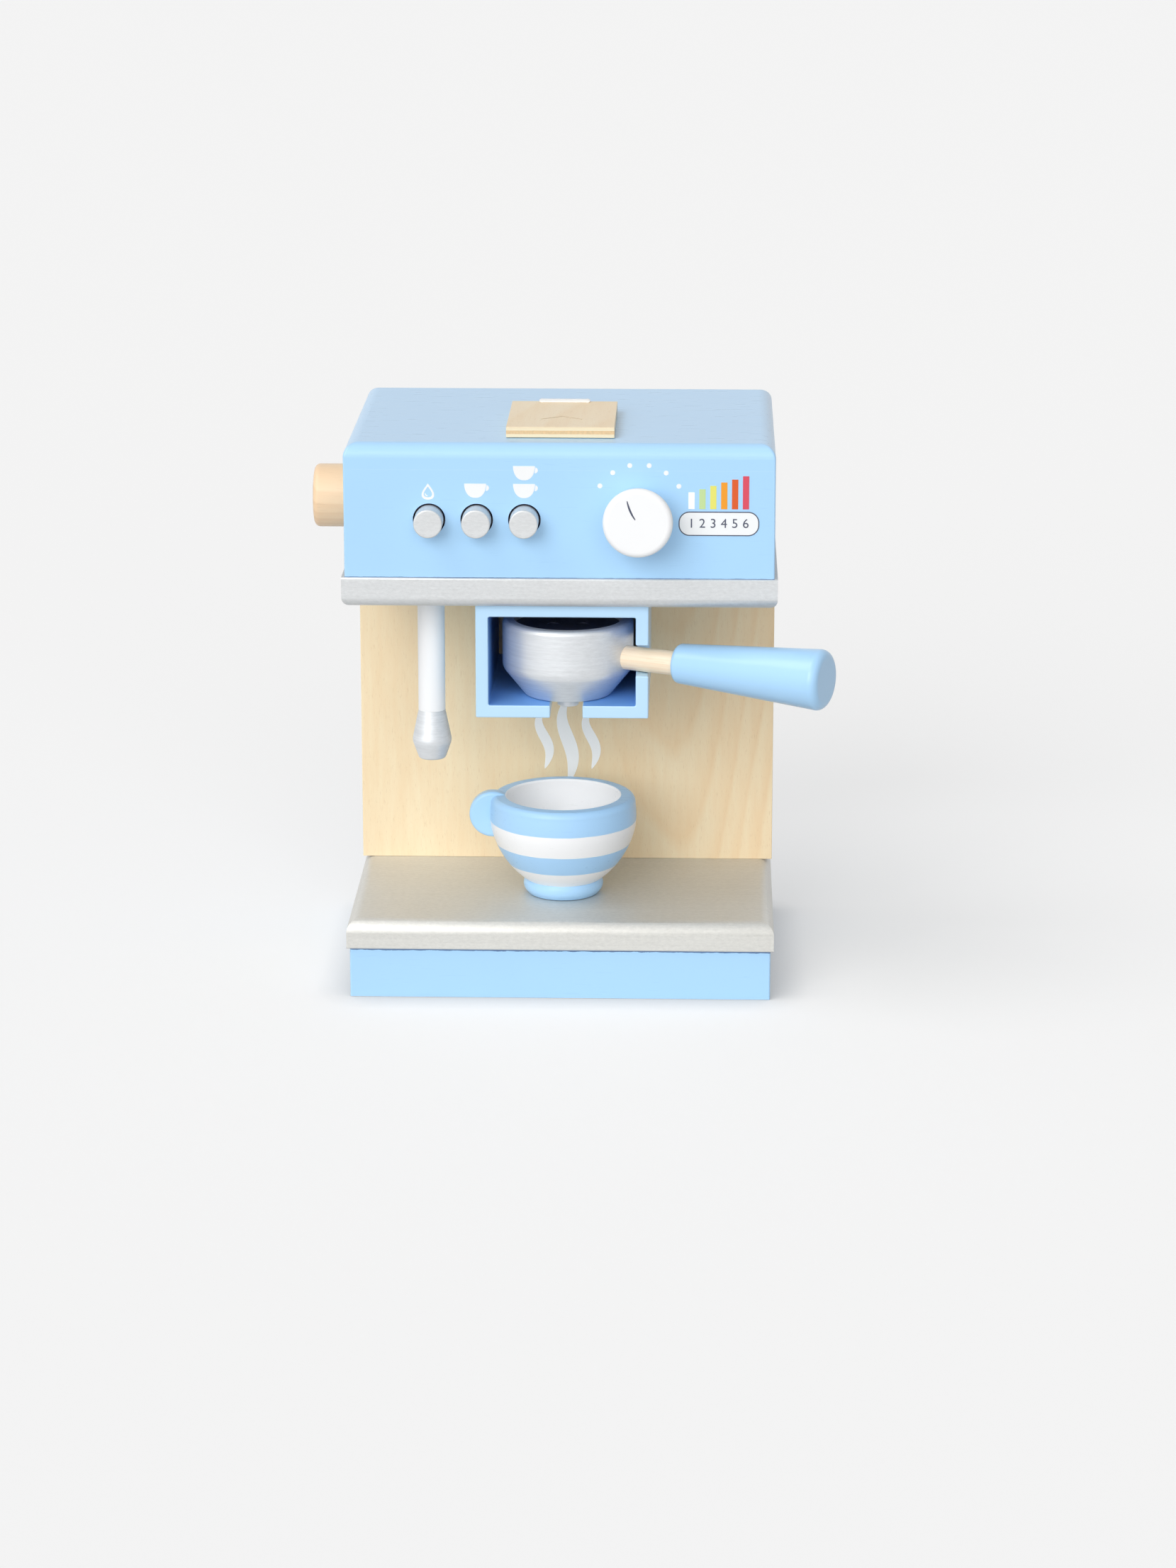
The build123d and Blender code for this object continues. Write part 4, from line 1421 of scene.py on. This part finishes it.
def drop_outline(x, z, width, height, count=48):
    """A pointed drop about a middle point."""
    points = []
    for index in range(count):
        angle = FULL_TURN * index / count
        reach = sin(angle) * abs(sin(angle / 2)) ** 1.4
        points.append((x + width * 0.62 * reach, z + height / 2 * cos(angle)))
    return points


def cup_sign(x, bottom, width=10.2, height=6.7, count=16):
    """Outlines of a small round-bottomed cup seen from the side, and of its handle."""
    angles = [radians(84) * index / count for index in range(count + 1)]
    bowl = [
        (x - width / 2 * cos(angle) ** 0.85, bottom + height * (1 - sin(angle)))
        for angle in angles
    ]
    bowl += [(2 * x - px, pz) for px, pz in bowl[::-1]]
    side, middle = x + width / 2 + 0.2, bottom + height * 0.7
    handle = arc((side, middle + 1.4), (side + 1.1, middle + 0.1), (side - 0.35, middle - 1.4), 12)
    return [bowl], [handle]


class COFFEE_MAKER_OT_front_prints(bpy.types.Operator):
    """Signs over the buttons, dots round the dial, strength bars and their number plate"""

    bl_idname = "coffee_maker.front_prints"
    bl_label = "Front prints"

    dot_angles = (-58, -35, -12, 12, 35, 58)
    dot_radius = 21.5
    dot_size = 2.3
    dot_lift = 2.0

    def execute(self, context):
        face_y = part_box("head_front")[0].y
        buttons = [placed(f"button_{n}")[2] / MM for n in (1, 2, 3)]
        drop_x, drop_z = buttons[0].x - 0.4, 245.8
        white = [
            print_mesh("drop", [drop_outline(drop_x, drop_z, 6.6, 7.8),
                                drop_outline(drop_x, drop_z - 0.2, 4.4, 5.1)]),
            print_mesh("drop_light", [stroke(arc((drop_x - 1.25, drop_z - 0.9),
                                                 (drop_x - 0.9, drop_z - 1.75),
                                                 (drop_x - 0.1, drop_z - 2.1), 8),
                                             [0.45] * 9)]),
        ]
        for x, bottom in ((buttons[1].x - 0.6, 242.9), (buttons[2].x - 0.1, 242.9),
                          (buttons[2].x - 0.1, 251.3)):
            white += [print_mesh("cup_sign", outlines) for outlines in cup_sign(x, bottom)]
        middle = placed("dial")[2] / MM
        for angle in self.dot_angles:
            x = middle.x + 0.4 + self.dot_radius * sin(radians(angle))
            z = middle.z + self.dot_lift + self.dot_radius * cos(radians(angle))
            white.append(print_mesh("dot", [circle(x, z, self.dot_size / 2)]))
        printed("front_signs", white, "white_ink", face_y, "white_paint")
        self.bars(face_y)
        self.plate(face_y)
        return {"FINISHED"}

    def bars(self, face_y):
        for index, height in enumerate(BAR_HEIGHTS):
            x = BAR_FIRST_X + BAR_PITCH * index
            outline = rectangle(x, BAR_BOTTOM + height / 2, BAR_WIDTH, height, 0.15)
            key = f"bar_{index + 1}"
            printed(f"strength_{key}", [print_mesh(key, [outline])], key, face_y, "white_paint")

    def plate(self, face_y):
        x, z, width, height, rounding = PLATE
        outer = rectangle(x, z, width, height, rounding)
        inner = rectangle(x, z, width - 2 * PLATE_LINE, height - 2 * PLATE_LINE,
                          rounding - PLATE_LINE)
        printed("plate_line", [print_mesh("line", [outer, inner])], "ink", face_y, "dark_paint")
        plate = print_mesh("plate", [inner])
        printed("number_plate", [plate], "white_ink", face_y, "white_paint")
        numbers = [
            number_mesh(str(index + 1), BAR_FIRST_X + BAR_PITCH * index, z, NUMBER_HEIGHT)
            for index in range(len(BAR_HEIGHTS))
        ]
        number_y = face_y - sizes().print_relief * NUMBER_RISE
        printed("plate_numbers", numbers, "ink", number_y, "dark_paint")


class COFFEE_MAKER_OT_steam_print(bpy.types.Operator):
    """Three curling wisps of steam on the back board above the cup"""

    bl_idname = "coffee_maker.steam_print"
    bl_label = "Steam print"

    wisps = ((-11.0, 84.0, 33.0, 5.2), (0.6, 76.0, 47.0, 7.0), (12.2, 84.0, 33.0, 5.2))
    wisp_sway = 3.6

    def execute(self, context):
        face_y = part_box("back_board")[0].y
        meshes = [print_mesh("wisp", [self.wisp(*wisp)]) for wisp in self.wisps]
        printed("steam_print", meshes, "steam_ink", face_y, "white_paint")
        return {"FINISHED"}

    def wisp(self, x, bottom, height, width, count=36):
        """One wisp: an S-shaped stroke that swells in the middle and tapers at both ends."""
        points, widths = [], []
        for index in range(count + 1):
            share = index / count
            sway = self.wisp_sway * sin(FULL_TURN * 1.05 * share) * (0.5 + 0.5 * share)
            points.append((x + sway, bottom + height * share))
            widths.append(0.25 + width * sin(pi * share) ** 0.8 * (1.1 - 0.35 * share))
        return stroke(points, widths)


# ---------------------------------------------------------------- Painted and lacquered boards


class COFFEE_MAKER_OT_boards(bpy.types.Operator):
    """Paint, silver and lacquer on the boards and other pieces that keep their shape"""

    bl_idname = "coffee_maker.boards"
    bl_label = "Boards"

    def execute(self, context):
        finishes = {
            blue_paint(): ("plinth_front", "plinth_back", "plinth_left", "plinth_right",
                           "column_left", "column_right", "rear_panel", "head_front", "head_back",
                           "head_left", "head_right", "head_top"),
            # The tray's silver carries a painted reflection of the wood
            silver_board("bright_silver"): ("tray_board",),
            silver_board("silver"): ("band_board",),
            white_paint(): ("wand_tube",),
            dark_paint(): ("filter_disc",),
            neck_wood(): ("filter_neck",),
            turned_beech(): ("dial_shaft", "dial_washer", "steam_shaft", "steam_washer"),
            plywood("back_board", "Y"): ("back_board",),
            plywood("spring_rail", "Y"): ("spring_rail", "well_back"),
            plywood("well_left", "X"): ("well_left",),
            plywood("well_right", "X"): ("well_right",),
            plywood("base_plate", "Z"): ("base_plate",),
        }
        for material, nodes in finishes.items():
            for node in nodes:
                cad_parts[node].material_slots[0].material = material
        for node in ("back_board", "band_board", "tray_board"):
            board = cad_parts[node]
            weld = board.modifiers.new("Weld", "WELD")
            weld.merge_threshold = 1e-6
            round_edges(board, sizes().ply_rounding, 2)
        return {"FINISHED"}


class COFFEE_MAKER_OT_lid(bpy.types.Operator):
    """Plywood lid with an arrow engraved towards its hinge"""

    bl_idname = "coffee_maker.lid"
    bl_label = "Lid"

    arrow_points = ((-9.5, 0.0), (0.0, 7.0), (9.5, 0.0))
    arrow_setback = 20.0
    arrow_line = 1.1
    engraving = 0.35

    def execute(self, context):
        low, high = node_box("lid")
        middle = (low[0] + high[0]) / 2
        points = [(middle + x, low[1] + self.arrow_setback + y) for x, y in self.arrow_points]
        outline = stroke(points, [self.arrow_line] * len(points))
        count = len(outline)
        levels = (high[2] - self.engraving, high[2] + 1.0)
        rings = [[Vector((x, y, z)) * MM for x, y in outline] for z in levels]
        sides = [(i, (i + 1) % count, (i + 1) % count + count, i + count) for i in range(count)]
        mesh = bpy.data.meshes.new("arrow")
        mesh.from_pydata(rings[0] + rings[1], [], [
            *sides, tuple(range(count))[::-1], tuple(range(count, 2 * count)),
        ])
        arrow = add_object("arrow", smooth(mesh))
        lid = rounded_board("lid_board", low, high, [arrow], sizes().lid_rounding,
                            plywood("lid", "Z"), engraved_wood())
        for face in lid.data.polygons:
            x, y, z = face.center / MM
            near = abs(x - middle) < 11 and -2 < y - low[1] - self.arrow_setback < 9
            sunk = 0.03 < high[2] - z < self.engraving * 1.2
            face.material_index = int(near and sunk)
        dress(lid, "lid", "plywood", "lid")
        return {"FINISHED"}


# ---------------------------------------------------------------- Stage


class COFFEE_MAKER_OT_stage(bpy.types.Operator):
    """Pale floor, soft light and the camera"""

    bl_idname = "coffee_maker.stage"
    bl_label = "Stage"

    floor_size = 60.0
    floor_drop = 0.0002
    floor_level = 0.985
    floor_bounce = 0.6
    sky_level = 0.92
    contact_reach = 0.02
    contact_shade = 0.72
    key_place = (-0.45, -0.85, 0.43)
    front_place = (0.05, -1.0, 0.33)
    side_place = (-0.5, -0.2, 0.85)
    side_spread = radians(35)
    front_spread = radians(50)

    def execute(self, context):
        self.floor()
        self.lamps()
        self.camera()
        bpy.context.scene.view_settings.view_transform = "Standard"
        return {"FINISHED"}

    def floor(self):
        half = self.floor_size / 2
        mesh = bpy.data.meshes.new("floor")
        corners = [(-half, -half, 0), (half, -half, 0), (half, half, 0), (-half, half, 0)]
        mesh.from_pydata(corners, [], [(0, 1, 2, 3)])
        floor = add_object("floor", mesh, self.floor_material())
        floor.location.z = -self.floor_drop

    def floor_material(self):
        """Matt floor; camera and mirror rays add an even glow that evens out its paleness."""
        stage = stage_settings()
        material = bpy.data.materials.new("pale floor")
        material.use_nodes = True
        material.node_tree.nodes.clear()
        t = Tree(material.node_tree)
        pale = colours().floor
        shown = seen_directly(t)
        glow = stage.floor_glow
        light = sum(
            strength * Vector(place).normalized().z
            for _, strength, _, place, _ in self.lamp_table()
        )
        matt_level = (self.floor_level - glow) / (light / pi + stage.fill_strength)
        # Ambient occlusion paints shade on the floor close to the toy, on the matt floor and on its
        # glow
        reach = t.add("AmbientOcclusion", {"Distance": self.contact_reach}, samples=8)
        painted_contact_shade = t.spread(reach.outputs["AO"], 0.5, 1.0, self.contact_shade, 1.0)
        even = tuple(v * matt_level for v in pale)
        bounce = [self.floor_bounce] * 3
        matt = t.mix(shown, bounce, t.shaded(even, painted_contact_shade))
        diffuse = t.add("BsdfDiffuse", {"Color": matt}).outputs[0]
        lit = t.add("Emission", {"Color": t.shaded(pale, painted_contact_shade),
                                 "Strength": t.times(shown, glow)})
        both = t.add("AddShader", {0: diffuse, 1: lit.outputs[0]}).outputs[0]
        out = t.add("OutputMaterial")
        t.feed(out.inputs["Surface"], both)
        return material

    def lamp_table(self):
        """Name, strength, spread and direction of each lamp, and whether it gives reflections."""
        stage = stage_settings()
        return (
            ("key", stage.key_strength, stage.key_spread, self.key_place, True),
            ("front", stage.front_strength, self.front_spread, self.front_place, False),
            ("side", stage.side_strength, self.side_spread, self.side_place, True),
        )

    def lamps(self):
        stage = stage_settings()
        for name, strength, spread, place, mirrored in self.lamp_table():
            lamp = bpy.data.lights.new(name, "SUN")
            lamp.energy = strength
            lamp.angle = spread
            holder = linked(name, lamp)
            holder.rotation_euler = Vector(place).to_track_quat("Z", "Y").to_euler()
            holder.visible_glossy = mirrored
        world = bpy.data.worlds.new("studio")
        bpy.context.scene.world = world
        world.use_nodes = True
        world.node_tree.nodes.clear()
        t = Tree(world.node_tree)
        shown = seen_directly(t)
        strength = t.spread(shown, 0.0, 1.0, stage.fill_strength, self.sky_level)
        sky = t.add("Background", {"Color": (1.0, 1.0, 1.0), "Strength": strength})
        out = t.add("OutputWorld")
        t.feed(out.inputs["Surface"], sky.outputs[0])

    def camera(self):
        stage = stage_settings()
        lens = bpy.data.cameras.new("camera")
        lens.lens = stage.camera_lens
        lens.shift_y = stage.camera_shift
        lens.clip_end = 200.0
        camera = linked("camera", lens)
        camera.location = stage.camera_place
        camera.rotation_euler = (radians(90) - stage.camera_pitch, 0, stage.camera_yaw)
        bpy.context.scene.camera = camera


OPERATORS = (
    COFFEE_MAKER_OT_stage,
    COFFEE_MAKER_OT_boards,
    COFFEE_MAKER_OT_lid,
    COFFEE_MAKER_OT_holder,
    COFFEE_MAKER_OT_cup,
    COFFEE_MAKER_OT_dial,
    COFFEE_MAKER_OT_steam_knob,
    COFFEE_MAKER_OT_wand_tip,
    COFFEE_MAKER_OT_portafilter,
    COFFEE_MAKER_OT_buttons,
    COFFEE_MAKER_OT_rear_screws,
    COFFEE_MAKER_OT_ribbon,
    COFFEE_MAKER_OT_front_prints,
    COFFEE_MAKER_OT_steam_print,
)


class COFFEE_MAKER_PT_pieces(bpy.types.Panel):
    """Lists the pieces of the toy coffee maker"""

    bl_idname = "COFFEE_MAKER_PT_pieces"
    bl_label = "Toy coffee maker"
    bl_space_type = "VIEW_3D"
    bl_region_type = "UI"
    bl_category = "Coffee maker"

    def draw(self, context):
        for operator in OPERATORS:
            self.layout.operator(operator.bl_idname)
        for settings in (colours(), sizes(), stage_settings()):
            column = self.layout.column()
            for key in settings.__annotations__:
                column.prop(settings, key)


CLASSES = (CoffeeMakerColours, CoffeeMakerSizes, CoffeeMakerStage, *OPERATORS, COFFEE_MAKER_PT_pieces)


def register():
    for cls in CLASSES:
        bpy.utils.register_class(cls)
    bpy.types.Scene.coffee_maker_colours = PointerProperty(type=CoffeeMakerColours)
    bpy.types.Scene.coffee_maker_sizes = PointerProperty(type=CoffeeMakerSizes)
    bpy.types.Scene.coffee_maker_stage = PointerProperty(type=CoffeeMakerStage)


def unregister():
    del bpy.types.Scene.coffee_maker_stage
    del bpy.types.Scene.coffee_maker_sizes
    del bpy.types.Scene.coffee_maker_colours
    for cls in reversed(CLASSES):
        bpy.utils.unregister_class(cls)


def main():
    register()
    for operator in OPERATORS:
        section, name = operator.bl_idname.split(".")
        getattr(getattr(bpy.ops, section), name)()


if __name__ == "__main__":
    main()
